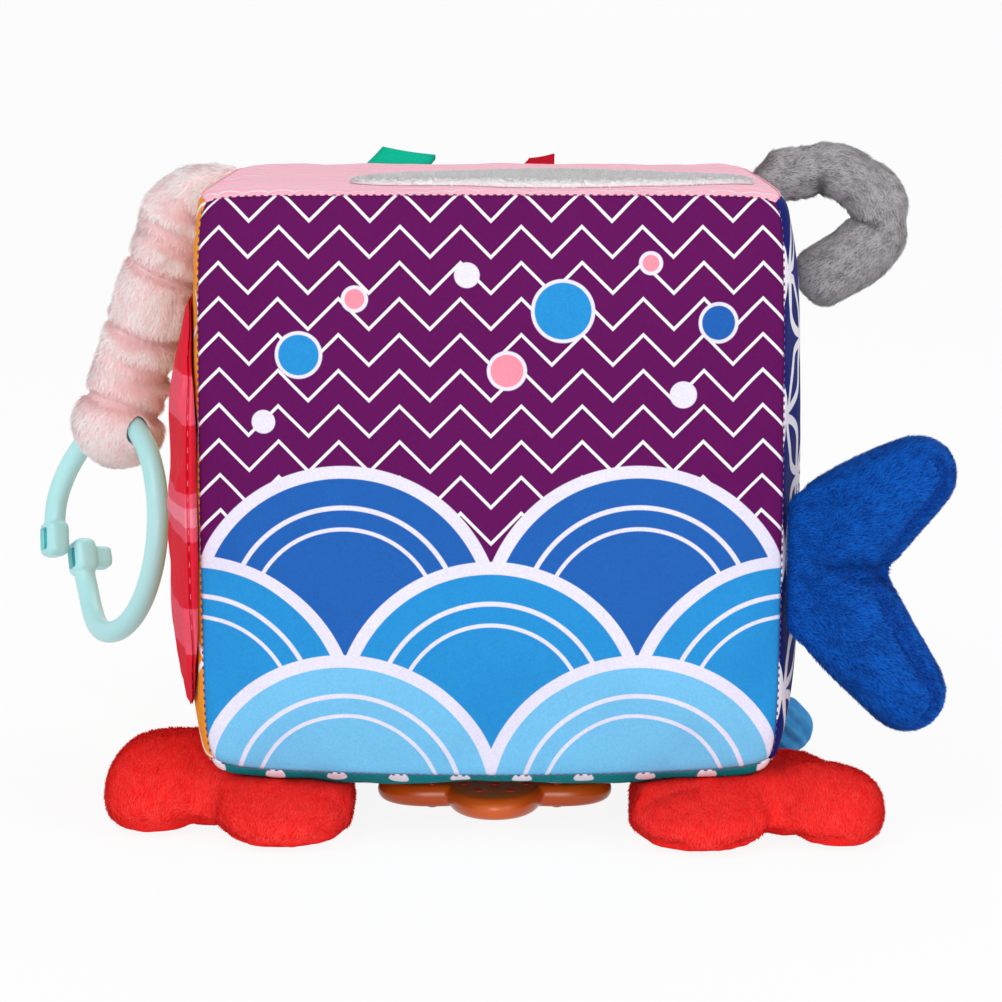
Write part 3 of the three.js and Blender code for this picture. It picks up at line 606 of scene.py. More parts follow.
def zigzag_group():
    """Lines that go up and down, row over row."""
    group, given, out = motif("zigzag_lines", ("Period", "Rise", "Line"), "Mask")
    swing = calc("PINGPONG", given("Across"), given("Period") * 0.5)
    slope = calc("DIVIDE", given("Rise"), given("Period") * 0.5)
    half = given("Pitch") * 0.5
    from_line = half - calc("PINGPONG", given("Up") - swing * slope, half) - given("Line") * 0.5
    feed(out["Mask"], 1.0 - rising(from_line, -LINE_BLUR, LINE_BLUR))
    return group


def crest_group():
    """Depth inside a row of round crests, solid below their middles."""
    group, given, out = motif("wave_crests", ("Shift", "Middle", "Radius"), "Depth")
    aside = repeated(given("Across") - given("Shift"), given("Pitch") * 0.5)
    above = calc("MAXIMUM", given("Up") - given("Middle"), 0.0)
    feed(out["Depth"], given("Radius") - calc("SQRT", aside * aside + above * above))
    return group


def spot_group():
    """Depth inside round spots that repeat at a pitch."""
    group, given, out = motif("round_spots", ("Spot Across", "Spot Up", "Radius"), "Depth")
    half = given("Pitch") * 0.5
    x = repeated(given("Across") - given("Spot Across"), half)
    y = repeated(given("Up") - given("Spot Up"), half)
    feed(out["Depth"], given("Radius") - calc("SQRT", x * x + y * y))
    return group


ZIGZAG = zigzag_group()
CRESTS = crest_group()
SPOTS = spot_group()
print("print motifs", ZIGZAG.name, CRESTS.name, SPOTS.name)

# %% Cloth material from a print
CUBE = 148 * MM
WHOLE_PANEL = CUBE / MM
PRINT_BLUR = 0.15


def print_places(tree):
    """Millimetres across and up from the panel's middle."""
    uv = result(tree, "ShaderNodeUVMap", {"uv_map": "print"})
    parts = add_node(tree, "ShaderNodeSeparateXYZ", Vector=uv).outputs
    return [(Field(parts[axis]) - 0.5) * WHOLE_PANEL for axis in (0, 1)]


def woven(shader, draw):
    """Colour a shader as woven cloth, in a print that draw makes, and give the threads' height."""
    across, up = print_places(shader.id_data)
    cloth = use_group(
        WEAVE, Across=across, Up=up, Place=object_place(shader.id_data), Colour=draw(across, up))
    feed(shader.inputs["Base Color"], cloth["Colour"])
    return cloth["Height"]


def printed_cloth(name, draw):
    material, shader = new_material(name, 0.8, Specular_IOR_Level=0.12)
    add_bump(shader, woven(shader, draw), 0.35, 0.12 * MM)
    return material


def inside(depth, edge=0.0):
    return rising(depth, edge - PRINT_BLUR, edge + PRINT_BLUR)


def spots(across, up, pitch, spot_across, spot_up, radius):
    return use_group(
        SPOTS, Across=across, Up=up, Pitch=pitch, Spot_Across=spot_across, Spot_Up=spot_up,
        Radius=radius)["Depth"]


WHITE_INK = srgb(236, 232, 240)
PURPLE_INK = srgb(92, 8, 84)
BLUE_INK = srgb(36, 138, 204)
DEEP_BLUE_INK = srgb(30, 92, 172)
PALE_BLUE_INK = srgb(112, 186, 228)
LILAC_INK = srgb(222, 218, 238)
CORAL_INK = srgb(244, 140, 158)
NAVY_INK = srgb(14, 26, 104)
ORANGE_INK = srgb(236, 148, 38)
PINK_INK = srgb(254, 184, 202)
TEAL_INK = srgb(0, 124, 130)
LEAF_INK = srgb(150, 205, 120)
DEEP_LEAF_INK = srgb(62, 140, 74)

# %% [markdown]
# ### Front panel
# The ground is purple with white zigzag lines. A generic sea swell covers the lower part: three rows
# of round wave crests, each with a pale foam rim and thin foam lines, and a few bubbles above them.

# %% Front print
SWELL_PITCH = 74.0
SWELL_RADIUS = 40.0
SWELL_ROWS = [(37.0, -34.0, DEEP_BLUE_INK), (0.0, -58.0, BLUE_INK), (37.0, -82.0, PALE_BLUE_INK)]
FOAM_RIM = 3.2
FOAM_LINES = [(10.0, 11.2), (15.5, 16.5)]
BUBBLE_RIM = 0.9
BUBBLES = [
    (-48, 34, 6.0, BLUE_INK), (-34, 48, 3.4, CORAL_INK), (-57, 17, 3.0, LILAC_INK),
    (4, 30, 5.0, CORAL_INK), (18, 45, 8.0, BLUE_INK), (-6, 54, 3.2, LILAC_INK),
    (48, 24, 3.4, LILAC_INK), (57, 42, 5.2, DEEP_BLUE_INK), (40, 57, 3.0, CORAL_INK),
]


def draw_front(across, up):
    lines = use_group(ZIGZAG, Across=across, Up=up, Period=15.2, Pitch=9.0, Rise=7.6, Line=1.08)
    colour = mix(lines["Mask"], PURPLE_INK, WHITE_INK)
    for spot_across, spot_up, radius, ink in BUBBLES:
        depth = spots(across, up, 2 * WHOLE_PANEL, spot_across, spot_up, radius)
        colour = mix(inside(depth), colour, LILAC_INK)
        colour = mix(inside(depth, BUBBLE_RIM), colour, ink)
    for shift, middle, ink in SWELL_ROWS:
        depth = use_group(
            CRESTS, Across=across, Up=up, Pitch=SWELL_PITCH, Shift=shift, Middle=middle,
            Radius=SWELL_RADIUS)["Depth"]
        colour = mix(inside(depth), colour, LILAC_INK)
        colour = mix(inside(depth, FOAM_RIM), colour, ink)
        for start, end in FOAM_LINES:
            colour = mix(inside(depth, start) - inside(depth, end), colour, LILAC_INK)
    return colour


# %% Other panel prints
# Right: white circles that interlock on navy. Left: crossed white lines on orange. Top: white
# scallops on pink. Bottom: white dots on teal. Back: a green check.
CIRCLE = 18.0
CIRCLE_LINE = 2.4
LATTICE = 15.0
LATTICE_LINE = (0.7, 1.1)
SCALLOP = 3.3
SCALLOP_CURVE = 11.5
SCALLOP_LINE = (0.45, 0.75)
DOT_STEP = 8.0
DOT_RADIUS = 2.6
CHECK = 9.25
CHECK_EDGE = (4.5, 4.75)
CHECK_SHARE = 0.5


def draw_right(across, up):
    colour = NAVY_INK
    for shift in (0.0, CIRCLE):
        depth = spots(across, up, 2 * CIRCLE, shift, shift, CIRCLE)
        colour = mix(inside(depth) - inside(depth, CIRCLE_LINE), colour, WHITE_INK)
    return colour


def draw_left(across, up):
    colour = ORANGE_INK
    for slant in (up + across, up - across):
        line = calc("PINGPONG", slant, LATTICE)
        colour = mix(1.0 - rising(line, *LATTICE_LINE), colour, WHITE_INK)
    return colour


def draw_top(across, up):
    aside = calc("WRAP", across, SCALLOP, -SCALLOP)
    arc = calc("SQRT", SCALLOP_CURVE - aside * aside)
    row = calc("PINGPONG", up - arc, SCALLOP)
    return mix(1.0 - rising(row, *SCALLOP_LINE), PINK_INK, WHITE_INK)


def draw_bottom(across, up):
    colour = TEAL_INK
    for shift in (0.0, DOT_STEP):
        dots = inside(spots(across, up, 2 * DOT_STEP, shift, shift, DOT_RADIUS))
        colour = mix(dots, colour, WHITE_INK)
    return colour


def draw_back(across, up):
    colour = LEAF_INK
    for place in (across, up):
        band = rising(calc("PINGPONG", place, CHECK), *CHECK_EDGE)
        colour = mix(band * CHECK_SHARE, colour, DEEP_LEAF_INK)
    return colour


PRINTS = {
    "front": draw_front, "back": draw_back, "left": draw_left,
    "right": draw_right, "top": draw_top, "bottom": draw_bottom,
}

# %% [markdown]
# ## Cube cover
# The six panels are sewn along the cube's twelve edges and stretched over foam, so each face is
# crowned, the seams bow out a little and the cloth puckers beside them. The whole cover is one closed
# cloth first: its seams are pinned, it is given a little slack, and Cloth with pressure swells it.
# Small noise adds the puckers. Then it is cut into its panels, whose edges roll into the seams.

# %% Cover shape
HALF = CUBE / 2
COVER_STEPS = 46
COVER_CROWN = {"side": 4.0 * MM, "front": 3.8 * MM, "top": 0.2 * MM, "bottom": 0.6 * MM}
EDGE_ROLL = {"side": 1.8 * MM, "front": 0.9 * MM, "top": 0.4 * MM, "bottom": 3.4 * MM}
SEAM_BOW = {"side": 0.8 * MM, "front": 1.0 * MM, "top": 0.3 * MM, "bottom": 2.2 * MM}
REAR_SAG = 0.5
LEFT_TOP_SHARE = 0.25
CORNER_DRAW = 1.8 * MM
ON_FACE = 0.9999
FACES = {
    "front": ((0, -1, 0), (1, 0, 0), (0, 0, 1)),
    "back": ((0, 1, 0), (-1, 0, 0), (0, 0, 1)),
    "left": ((-1, 0, 0), (0, -1, 0), (0, 0, 1)),
    "right": ((1, 0, 0), (0, 1, 0), (0, 0, 1)),
    "top": ((0, 0, 1), (1, 0, 0), (0, 1, 0)),
    "bottom": ((0, 0, -1), (1, 0, 0), (0, -1, 0)),
}


def cover_points(unit):
    """Points of the swelled cube for points of the unit cube's surface."""
    x, y, z = unit.T
    draw = CORNER_DRAW * np.abs(x * y * z) ** 14

    def out(face, a, b, bow, share=1.0):
        crown = COVER_CROWN[face] * (1 - a ** 4) * (1 - b ** 4)
        roll = EDGE_ROLL[face] * (1 - a ** 24) * (1 - b ** 24)
        return HALF - draw + (crown + roll) * share + SEAM_BOW[face] * bow

    side_share = np.where(x < 0, LEFT_TOP_SHARE + (1 - LEFT_TOP_SHARE) * (1 - z) / 2, 1.0)
    to_front = (1 - x ** 2) * ((1 - y) / 2 - REAR_SAG * (1 + y) / 2)
    reach = [
        out("side", y, z, 1 - (y * z) ** 2, side_share),
        out("front", x, z, 1 - (x * z) ** 2),
        np.where(z < 0, out("bottom", x, y, to_front), out("top", x, y, to_front)),
    ]
    return CUBE_MIDDLE + unit * np.array(reach).T


def face_grid(face):
    """Unit cube points of one face, row by row, closer together beside the seams."""
    normal, across, up = np.array(FACES[face], float)
    line = np.linspace(-1, 1, COVER_STEPS + 1)
    line = 0.5 * line + 0.5 * np.sin(line * math.pi / 2)
    u, v = np.meshgrid(line, line)
    return normal + u.reshape(-1, 1) * across + v.reshape(-1, 1) * up


GRID_FACES = grid_faces(COVER_STEPS + 1, COVER_STEPS + 1)
face_units = np.concatenate([face_grid(face) for face in FACES])
unit_points, welded = np.unique(face_units.round(6), axis=0, return_inverse=True)
welded = welded.reshape(len(FACES), -1)
cover_faces = [[corners[i] for i in quad] for corners in welded for quad in GRID_FACES]
cover = new_object("cover", cover_points(unit_points), cover_faces)
outward = np.where(np.abs(unit_points) > ON_FACE, unit_points, 0)
on_seam = (outward != 0).sum(axis=1) > 1
print("cover cells", len(cover_faces), "seam points", int(on_seam.sum()))

# %% Swell the cover
SEAM_DEPTH = 0.5 * MM
PUCKER_SIZE = 9 * MM
PUCKER_DEPTH = 1.0 * MM
PUCKER_REACH = 9 * MM
WAVE_SIZE = 34 * MM
WAVE_DEPTH = 0.8 * MM
TOP_SWELL = 0.4 * MM
SIDE_SWELL = 1.3 * MM
most_swell = np.where(outward[:, 2] > 0, TOP_SWELL, SIDE_SWELL)
swell(cover, on_seam, pressure=0.35, slack=0.003, cap=most_swell)


def puckers(points):
    """Small folds beside the seams, and slow waves in the middle of each face."""
    second = np.sort(np.abs(unit_points), axis=1)[:, 1]
    from_seam = (1 - second) * HALF
    near = np.exp(-from_seam / PUCKER_REACH) * smooth_step(from_seam, 0, 3 * MM)
    far = smooth_step(from_seam, 0, 12 * MM)
    fold = np.array([noise.noise(Vector(p / PUCKER_SIZE)) for p in points])
    wave = np.array([noise.noise(Vector(p / WAVE_SIZE)) for p in points])
    return points + outward * (PUCKER_DEPTH * near * fold + WAVE_DEPTH * far * wave)[:, None]


cover_now = puckers(points_of(cover))
seam_way = outward / np.maximum(np.linalg.norm(outward, axis=1), 1)[:, None]
cover_now[on_seam] -= SEAM_DEPTH * seam_way[on_seam]
bpy.data.objects.remove(cover)

# %% Cut the cover into panels
PANEL_CLOTH = 0.8 * MM


def add_print_map(thing, places):
    """UV map from a place between 0 and 1 for each point."""
    layer = thing.data.uv_layers.new(name="print")
    corner = np.empty(len(thing.data.loops), dtype=np.int32)
    thing.data.loops.foreach_get("vertex_index", corner)
    layer.data.foreach_set("uv", places[corner].astype(np.float32).ravel())


def add_panel(face, points):
    panel = new_object(f"{face}_cloth", points, GRID_FACES, printed_cloth(f"{face}_print", PRINTS[face]))
    ways = np.array(FACES[face][1:], float)
    add_print_map(panel, face_grid(face) @ ways.T / 2 + 0.5)
    subdivide(panel)
    thicken(panel, PANEL_CLOTH, -1)
    put_on(panel, "cube", f"{face}_print", f"{face}_panel")
    return panel


panels = {face: add_panel(face, cover_now[corners]) for face, corners in zip(FACES, welded)}

# %% [markdown]
# ### Foam block
# The block inside is not seen, but it is what keeps the cube square. It is the cover drawn in a
# little, in pale open foam.

# %% Foam block
FOAM_SHRINK = 0.965
FOAM_CELLS = (900.0, 3.0)


def add_foam():
    points = CUBE_MIDDLE + (cover_points(unit_points) - CUBE_MIDDLE) * FOAM_SHRINK
    material = mottled(
        "open_foam", srgb(228, 220, 198), srgb(248, 244, 230), 0.95, FOAM_CELLS, FOAM_CELLS,
        (0.6, 0.4 * MM))
    foam = new_object("foam_block", points, cover_faces, material)
    put_on(foam, "cube", "foam", "foam_core")


add_foam()

# %% [markdown]
# ## Stitches
# The front seams are closed with short stitches of plum thread, the others and the flap with pink. A
# Geometry Nodes tree turns any line of points into a row of stitches: it measures the line off at an
# even pitch and lays one small bead of thread along it at each mark.

# %% Geometry Nodes helpers


def new_tree(name, inputs):
    """Geometry Nodes tree with a mesh in and out and other named inputs."""
    mesh = {"Geometry": "NodeSocketGeometry"}
    return new_group(name, mesh | inputs, mesh, "GeometryNodeTree")


def end_tree(tree, out, instances, material):
    """End a tree with real meshes in place of instances, in a material."""
    solid = result(tree, "GeometryNodeRealizeInstances", Geometry=instances)
    feed(out["Geometry"], result(tree, "GeometryNodeSetMaterial", Geometry=solid, Material=material))
    return tree


def run_tree(thing, tree, **values):
    """Run a tree on an object, and keep the result as its plain mesh."""
    modifier = thing.modifiers.new("nodes", "NODES")
    modifier.node_group = tree
    for item in tree.interface.items_tree:
        label = item.name.replace(" ", "_")
        if item.in_out == "INPUT" and label in values:
            modifier[item.identifier] = values[label]
    settle(thing)


# %% Stitch tree
THREAD_TWIST = (1800.0, 2.0)


def stitch_tree():
    tree, given, out = new_tree(
        "stitch_row",
        {"Pitch": NUMBER, "Stitch": NUMBER, "Thread Width": NUMBER, "Thread": MATERIAL})
    line = result(tree, "GeometryNodeMeshToCurve", Mesh=given("Geometry"))
    marks = result(
        tree, "GeometryNodeResampleCurve", {"mode": "LENGTH"}, Curve=line, Length=given("Pitch"))
    along = result(
        tree, "FunctionNodeAlignRotationToVector", {"axis": "X"},
        Vector=result(tree, "GeometryNodeInputTangent"))
    width = given("Thread Width")
    rows = result(
        tree, "GeometryNodeInstanceOnPoints", Points=marks, Rotation=along,
        Instance=result(tree, "GeometryNodeMeshUVSphere", Segments=6, Rings=4, Radius=0.5),
        Scale=result(tree, "ShaderNodeCombineXYZ", X=given("Stitch"), Y=width, Z=width))
    return end_tree(tree, out, rows, given("Thread"))


STITCHES = stitch_tree()
PLUM_THREAD = mottled("plum_thread", srgb(74, 24, 74), srgb(132, 78, 126), 0.7, THREAD_TWIST)
PINK_THREAD = mottled("pink_thread", srgb(226, 132, 146), srgb(250, 196, 202), 0.7, THREAD_TWIST)


def sew(name, lines, pitch, stitch, width, thread, body, slot):
    """Rows of stitches along some lines of points."""
    starts = np.cumsum([0] + [len(line) for line in lines[:-1]])
    edges = [(s + i, s + i + 1) for s, line in zip(starts, lines) for i in range(len(line) - 1)]
    row = new_object(name, np.concatenate(lines), [], edges=edges)
    run_tree(row, STITCHES, Pitch=pitch, Stitch=stitch, Thread_Width=width, Thread=thread)
    put_on(row, body, slot)


# %% Sew the cube's seams
SEAM_STITCH = (2.0 * MM, 1.1 * MM, 0.36 * MM)
STITCH_OUT = 0.15 * MM


def seam_lines():
    """Lines of points along the front's four seams and the other eight, just outside them."""
    front, rest = [], []
    for axis in range(3):
        others = [part for part in range(3) if part != axis]
        for first in (-1, 1):
            for second in (-1, 1):
                on = np.abs(unit_points[:, others] - [first, second]).max(axis=1) < 1e-4
                order = np.argsort(unit_points[on][:, axis])
                points = cover_now[on][order]
                points[:, others] += np.array([first, second]) * STITCH_OUT
                at_front = axis != 1 and unit_points[on][:, 1].max() < 0
                (front if at_front else rest).append(points[2:-2])
    return front, rest


front_seams, other_seams = seam_lines()
sew("front_stitches", front_seams, *SEAM_STITCH, PLUM_THREAD, "cube", "front_print")
sew("seam_stitches", other_seams, *SEAM_STITCH, PINK_THREAD, "cube", "top_print")

# %% [markdown]
# ## Plush
# The limbs are sewn from plush: a knitted backing with a soft nap of fine fibres that lean one way
# and stick together in small locks. The backing is a skin swelled by Cloth. The nap is a Geometry
# Nodes tree that scatters curved blades over the skin, each one turned along the skin's nap, leaning
# and tinted at random. A blade takes part of its shading from the skin under it, which makes it soft.

# %% Pile tree
BLADE_ARCH = 0.5
BLADE_TAPER = 0.7
BLADE_ROLL = (-0.3, 0.3)
BLADE_LIFT = (-0.25, 0.1)
BLADE_SIZE = (0.65, 1.15)


def named_field(tree, name, kind):
    settings = {"data_type": kind}
    node = add_node(tree, "GeometryNodeInputNamedAttribute", settings, Name=name)
    return Field(node.outputs["Attribute"])


def store(tree, mesh, name, kind, value):
    settings = {"data_type": kind, "domain": "POINT"}
    return result(
        tree, "GeometryNodeStoreNamedAttribute", settings, Geometry=mesh, Name=name, Value=value)


def random_number(tree, low, high, seed):
    node = add_node(tree, "FunctionNodeRandomValue", {"data_type": "FLOAT"})
    for number, value in ((2, low), (3, high), (8, seed)):
        feed(node.inputs[number], value)
    return Field(node.outputs[1])


def blade_mesh(tree, length, width, rise):
    """One blade of pile: narrow to its tip, and laid over towards X."""
    grid = result(tree, "GeometryNodeMeshGrid", Size_X=1.0, Size_Y=1.0, Vertices_X=2, Vertices_Y=3)
    position = result(tree, "GeometryNodeInputPosition")
    parts = add_node(tree, "ShaderNodeSeparateXYZ", Vector=position).outputs
    along = Field(parts[1]) + 0.5
    stored = store(tree, grid, "along", "FLOAT", along)
    arch = along * (1.0 - along * BLADE_ARCH)
    taper = 1.0 - along * BLADE_TAPER
    place = result(
        tree, "ShaderNodeCombineXYZ", X=along * length, Y=Field(parts[0]) * taper * width, Z=arch * rise)
    return result(tree, "GeometryNodeSetPosition", Geometry=stored, Position=place)


def pile_tree():
    numbers = ("Density", "Blade Length", "Blade Width", "Rise", "Spread")
    tree, given, out = new_tree(
        "plush_pile", dict.fromkeys(numbers, NUMBER) | {"Seed": "NodeSocketInt", "Pile": MATERIAL})
    points = add_node(
        tree, "GeometryNodeDistributePointsOnFaces", Mesh=given("Geometry"),
        Density=given("Density") * named_field(tree, "pile", "FLOAT"), Seed=given("Seed")).outputs
    marked = store(tree, Field(points["Points"]), "ground", "FLOAT_VECTOR", Field(points["Normal"]))
    marked = store(tree, marked, "tint", "FLOAT", random_number(tree, 0.0, 1.0, 3))
    stand = result(
        tree, "FunctionNodeAlignRotationToVector", {"axis": "Z"},
        Vector=named_field(tree, "ground", "FLOAT_VECTOR"))
    turn = result(
        tree, "FunctionNodeAlignRotationToVector", {"axis": "X", "pivot_axis": "Z"},
        Rotation=stand, Vector=named_field(tree, "nap", "FLOAT_VECTOR"))
    toss = result(
        tree, "ShaderNodeCombineXYZ",
        X=random_number(tree, *BLADE_ROLL, 11),
        Y=random_number(tree, *BLADE_LIFT, 12),
        Z=random_number(tree, given("Spread") * -1.0, given("Spread"), 13))
    tossed = result(
        tree, "FunctionNodeRotateRotation", {"rotation_space": "LOCAL"}, Rotation=turn, Rotate_By=toss)
    tall = random_number(tree, *BLADE_SIZE, 21) * named_field(tree, "pile", "FLOAT")
    blades = result(
        tree, "GeometryNodeInstanceOnPoints", Points=marked, Rotation=tossed,
        Instance=blade_mesh(tree, given("Blade Length"), given("Blade Width"), given("Rise")),
        Scale=result(tree, "ShaderNodeCombineXYZ", X=tall, Y=1.0, Z=tall))
    return end_tree(tree, out, blades, given("Pile"))


PILE = pile_tree()

# %% Plush shading
LOCK_SCALE = 320.0
TIP_LIGHT = 0.5
BLADE_TINT = 0.4
LOCK_TINT = 0.9
HOLLOW_SHADE = 0.7
PILE_SHADOW = 0.32
KNIT = (700.0, 3.0)
SOFT_SHARE = 0.45
THROUGH_SHARE = 0.15


def pile_shade_group():
    """Colour of a blade: painted shade darkens it towards its root and in hollows, so it is paler at its
    tip, with a tint by blade and by lock.
    """
    numbers = dict.fromkeys(("Along", "Tint", "Hollow"), NUMBER)
    group, given, out = new_group(
        "pile_shade", numbers | {"Place": PLACE, "Root": COLOUR, "Tip": COLOUR}, {"Colour": COLOUR})
    locks = noise_of(given("Place"), LOCK_SCALE)
    light = given("Along") * TIP_LIGHT + given("Tint") * BLADE_TINT + locks * LOCK_TINT
    light = light - given("Hollow") * HOLLOW_SHADE - PILE_SHADOW
    feed(out["Colour"], mix(rising(light, 0.0, 1.0), given("Root"), given("Tip")))
    return group


PILE_SHADE = pile_shade_group()


def plush_materials(name, root, tip):
    """Materials of a plush's backing and of its pile."""
    # The backing runs from the darker root colour to a little paler: painted shade under the pile.
    middle = tuple(0.4 * low + 0.6 * high for low, high in zip(root, tip))
    backing = mottled(
        f"{name}_backing", root, middle, 0.9, KNIT, KNIT, (0.5, 0.4 * MM), Specular_IOR_Level=0.1)
    pile, shader = new_material(f"{name}_pile", 0.8, Specular_IOR_Level=0.15)
    tree = pile.node_tree
    parts = {label: attribute(tree, label.lower()) for label in ("Along", "Tint", "Hollow")}
    colour = use_group(PILE_SHADE, Place=object_place(tree), Root=root, Tip=tip, **parts)["Colour"]
    feed(shader.inputs["Base Color"], colour)
    ground = result(
        tree, "ShaderNodeVectorTransform",
        {"vector_type": "NORMAL", "convert_from": "OBJECT", "convert_to": "WORLD"},
        Vector=attribute(tree, "ground", "Vector"))
    normal = Field(tree.nodes.new("ShaderNodeNewGeometry").outputs["Normal"])
    soft = add_node(tree, "ShaderNodeMix", {"data_type": "VECTOR"})
    for number, value in ((0, SOFT_SHARE), (4, normal), (5, ground)):
        feed(soft.inputs[number], value)
    feed(shader.inputs["Normal"], Field(soft.outputs[1]))
    through = add_node(tree, "ShaderNodeBsdfTranslucent", Color=colour)
    blend_shaders(tree, THROUGH_SHARE, shader, through)
    return backing, pile


# Root and tip colours of each plush. Their spread is partly the fibres' own tone, and partly painted
# shade at the roots and a painted highlight at the tips.
PLUSH = {
    "pale_grey_plush": plush_materials("pale_grey_plush", srgb(230, 229, 230), srgb(255, 255, 255)),
    "grey_plush": plush_materials("grey_plush", srgb(112, 108, 110), srgb(200, 195, 198)),
    "blue_plush": plush_materials("blue_plush", srgb(0, 40, 118), srgb(8, 100, 204)),
    "red_plush": plush_materials("red_plush", srgb(236, 10, 14), srgb(255, 72, 66)),
    "pink_plush": plush_materials("pink_plush", srgb(255, 218, 220), srgb(255, 255, 255)),
}
print("plushes", ", ".join(PLUSH))

# %% Pile on a skin
LOCK_SIZE = 7 * MM
LOCK_TURN = 0.6
LOCK_SEED = 7
BLADE_WIDTH = 0.32 * MM
# Without a seed, noise vectors start from the clock and differ in every run.
noise.seed_set(LOCK_SEED)


def set_field(thing, name, kind, values):
    field = thing.data.attributes.new(name, kind, "POINT")
    label = "vector" if kind == "FLOAT_VECTOR" else "value"
    field.data.foreach_set(label, np.asarray(values, dtype=np.float32).ravel())


def tousled(points, nap):
    """Nap directions turned a little this way and that, in locks."""
    turn = np.array([noise.noise_vector(Vector(p / LOCK_SIZE)) for p in points])
    return nap + LOCK_TURN * turn


def add_pile(skin, plush, nap, thick, hollow, count, length, rise, spread, seed):
    """Pile over a skin: about count blades, where thick is 1, along nap, and with painted shade in
    hollows.
    """
    pile = show(f"{skin.name}_pile", skin.data.copy())
    size = len(pile.data.vertices)
    set_field(pile, "nap", "FLOAT_VECTOR", tousled(points_of(pile), np.broadcast_to(nap, (size, 3))))
    set_field(pile, "pile", "FLOAT", np.broadcast_to(thick, size))
    set_field(pile, "hollow", "FLOAT", np.broadcast_to(hollow, size))
    area = sum(face.area for face in pile.data.polygons)
    run_tree(
        pile, PILE, Density=count / area, Blade_Length=length, Blade_Width=BLADE_WIDTH, Rise=rise,
        Spread=spread, Seed=seed, Pile=PLUSH[plush][1])
    return pile


def finish_limb(skin, body, plush, nodes, fill, **pile_rules):
    """Give a stuffed limb its pile, and say what it shows."""
    pile = add_pile(skin, plush, **pile_rules)
    put_on(skin, body, plush, *nodes)
    put_on(pile, body, plush)


# %% [markdown]
# ### Patch on the top
# A flat oval of grey plush lies on the top panel and is sewn down round its edge. It is shaped over
# the swelled panel: each of its points is dropped on the cloth and lifted by the plush's thickness.

# %% Top patch
PATCH_THICK = 1.6 * MM
PATCH_RIM = 0.5 * MM
PATCH_CLEAR = 0.1 * MM
PATCH_RINGS = 16
PATCH_SECTORS = 84


def disc_faces(rings, sectors):
    """Faces of a closed disc: a top and a bottom of rings round two middle points, joined at the rim."""
    faces = []
    bottom = 1 + rings * sectors
    for k in range(sectors):
        after = (k + 1) % sectors
        faces.append((0, 1 + k, 1 + after))
        faces.append((bottom, bottom + 1 + after, bottom + 1 + k))
        for ring in range(rings - 1):
            a, b = 1 + ring * sectors, 1 + (ring + 1) * sectors
            faces.append((a + k, b + k, b + after, a + after))
            faces.append((bottom + a + after, bottom + b + after, bottom + b + k, bottom + a + k))
        rim = 1 + (rings - 1) * sectors
        faces.append((rim + k, bottom + rim + k, bottom + rim + after, rim + after))
    return faces


def disc_places(rings, sectors):
    """Reach and angle of the points of one side of a disc, closer together towards the rim."""
    reach = np.sin(np.linspace(0, math.pi / 2, rings + 1)[1:])
    angle = np.linspace(0, 2 * math.pi, sectors, endpoint=False)
    grid = np.stack(np.meshgrid(reach, angle, indexing="ij"), axis=-1).reshape(-1, 2)
    return np.concatenate([[[0.0, 0.0]], grid]).T


def add_patch():
    low, high = (np.array(corner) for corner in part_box("top_patch"))
    middle, half = (low + high) / 2, (high - low) / 2
    cloth = surface_of(panels["top"])
    reach, angle = disc_places(PATCH_RINGS, PATCH_SECTORS)
    plan = middle[:2] + half[:2] * (reach * [np.cos(angle), np.sin(angle)]).T
    ground = np.array([cloth.ray_cast((x, y, 1.0), (0, 0, -1))[0].z for x, y in plan])
    rise = PATCH_THICK * np.sqrt(np.maximum(0, 1 - reach ** 8))
    top = np.column_stack([plan, ground + PATCH_RIM + rise])
    bottom = np.column_stack([plan, ground + PATCH_CLEAR])
    faces = disc_faces(PATCH_RINGS, PATCH_SECTORS)
    backing = PLUSH["pale_grey_plush"][0]
    patch = new_object("plush_patch", np.concatenate([top, bottom]), faces, backing)
    thick = np.clip(normals_of(patch)[:, 2] + 0.6, 0, 1)
    pile = add_pile(
        patch, "pale_grey_plush", (0.3, -1.0, 0.0), thick, 0.0, count=30000, length=1.3 * MM,
        rise=0.7 * MM, spread=0.6, seed=5)
    put_on(patch, "cube", "grey_plush", "top_patch")
    put_on(pile, "cube", "grey_plush")


add_patch()

# %% [markdown]
# ## Ribbon tags
# Two short ribbons are folded double and sewn into the rear top seam. They stand up and lean back,
# and the wider one is twisted, as a tag is after a while in small hands. Each is a strip folded over
# a line, with fine ribs along it.

# %% Tags
TAG_RIBBON = 0.5 * MM
TAG_LEAN = math.radians(45)
TAG_STEPS = 9
TAG_SIDES = 7
TAG_BOW = 0.4 * MM
RIB_TURN = 9.0


def ribbon_material(name, dark, light):
    material, shader = new_material(name, 0.6, Specular_IOR_Level=0.1)

    def ribs(across):
        return calc("SINE", across * RIB_TURN) * 0.5 + 0.5

    def draw(across, up):
        return mix(ribs(across), dark, light)

    woven(shader, draw)
    add_bump(shader, ribs(print_places(material.node_tree)[0]), 0.4, 0.2 * MM)
    return material


def strip(name, path, rows, thick, material):
    """Closed sheet over rows of points across a ribbon's path, its width and its length."""
    steps = len(rows[0])
    ribbon = new_object(name, np.concatenate(rows), grid_faces(len(rows), steps), material)
    run = np.concatenate([[0], np.cumsum(np.linalg.norm(np.diff(path, axis=0), axis=1))])
    wide = np.linalg.norm(np.array(rows[0][-1]) - np.array(rows[0][0]))
    side = np.linspace(-0.5, 0.5, steps)
    places = [(0.5 + s * wide / CUBE, 0.5 + r / CUBE) for r in run for s in side]
    add_print_map(ribbon, np.array(places))
    thicken(ribbon, thick, 0)
    return ribbon, wide, run[-1]


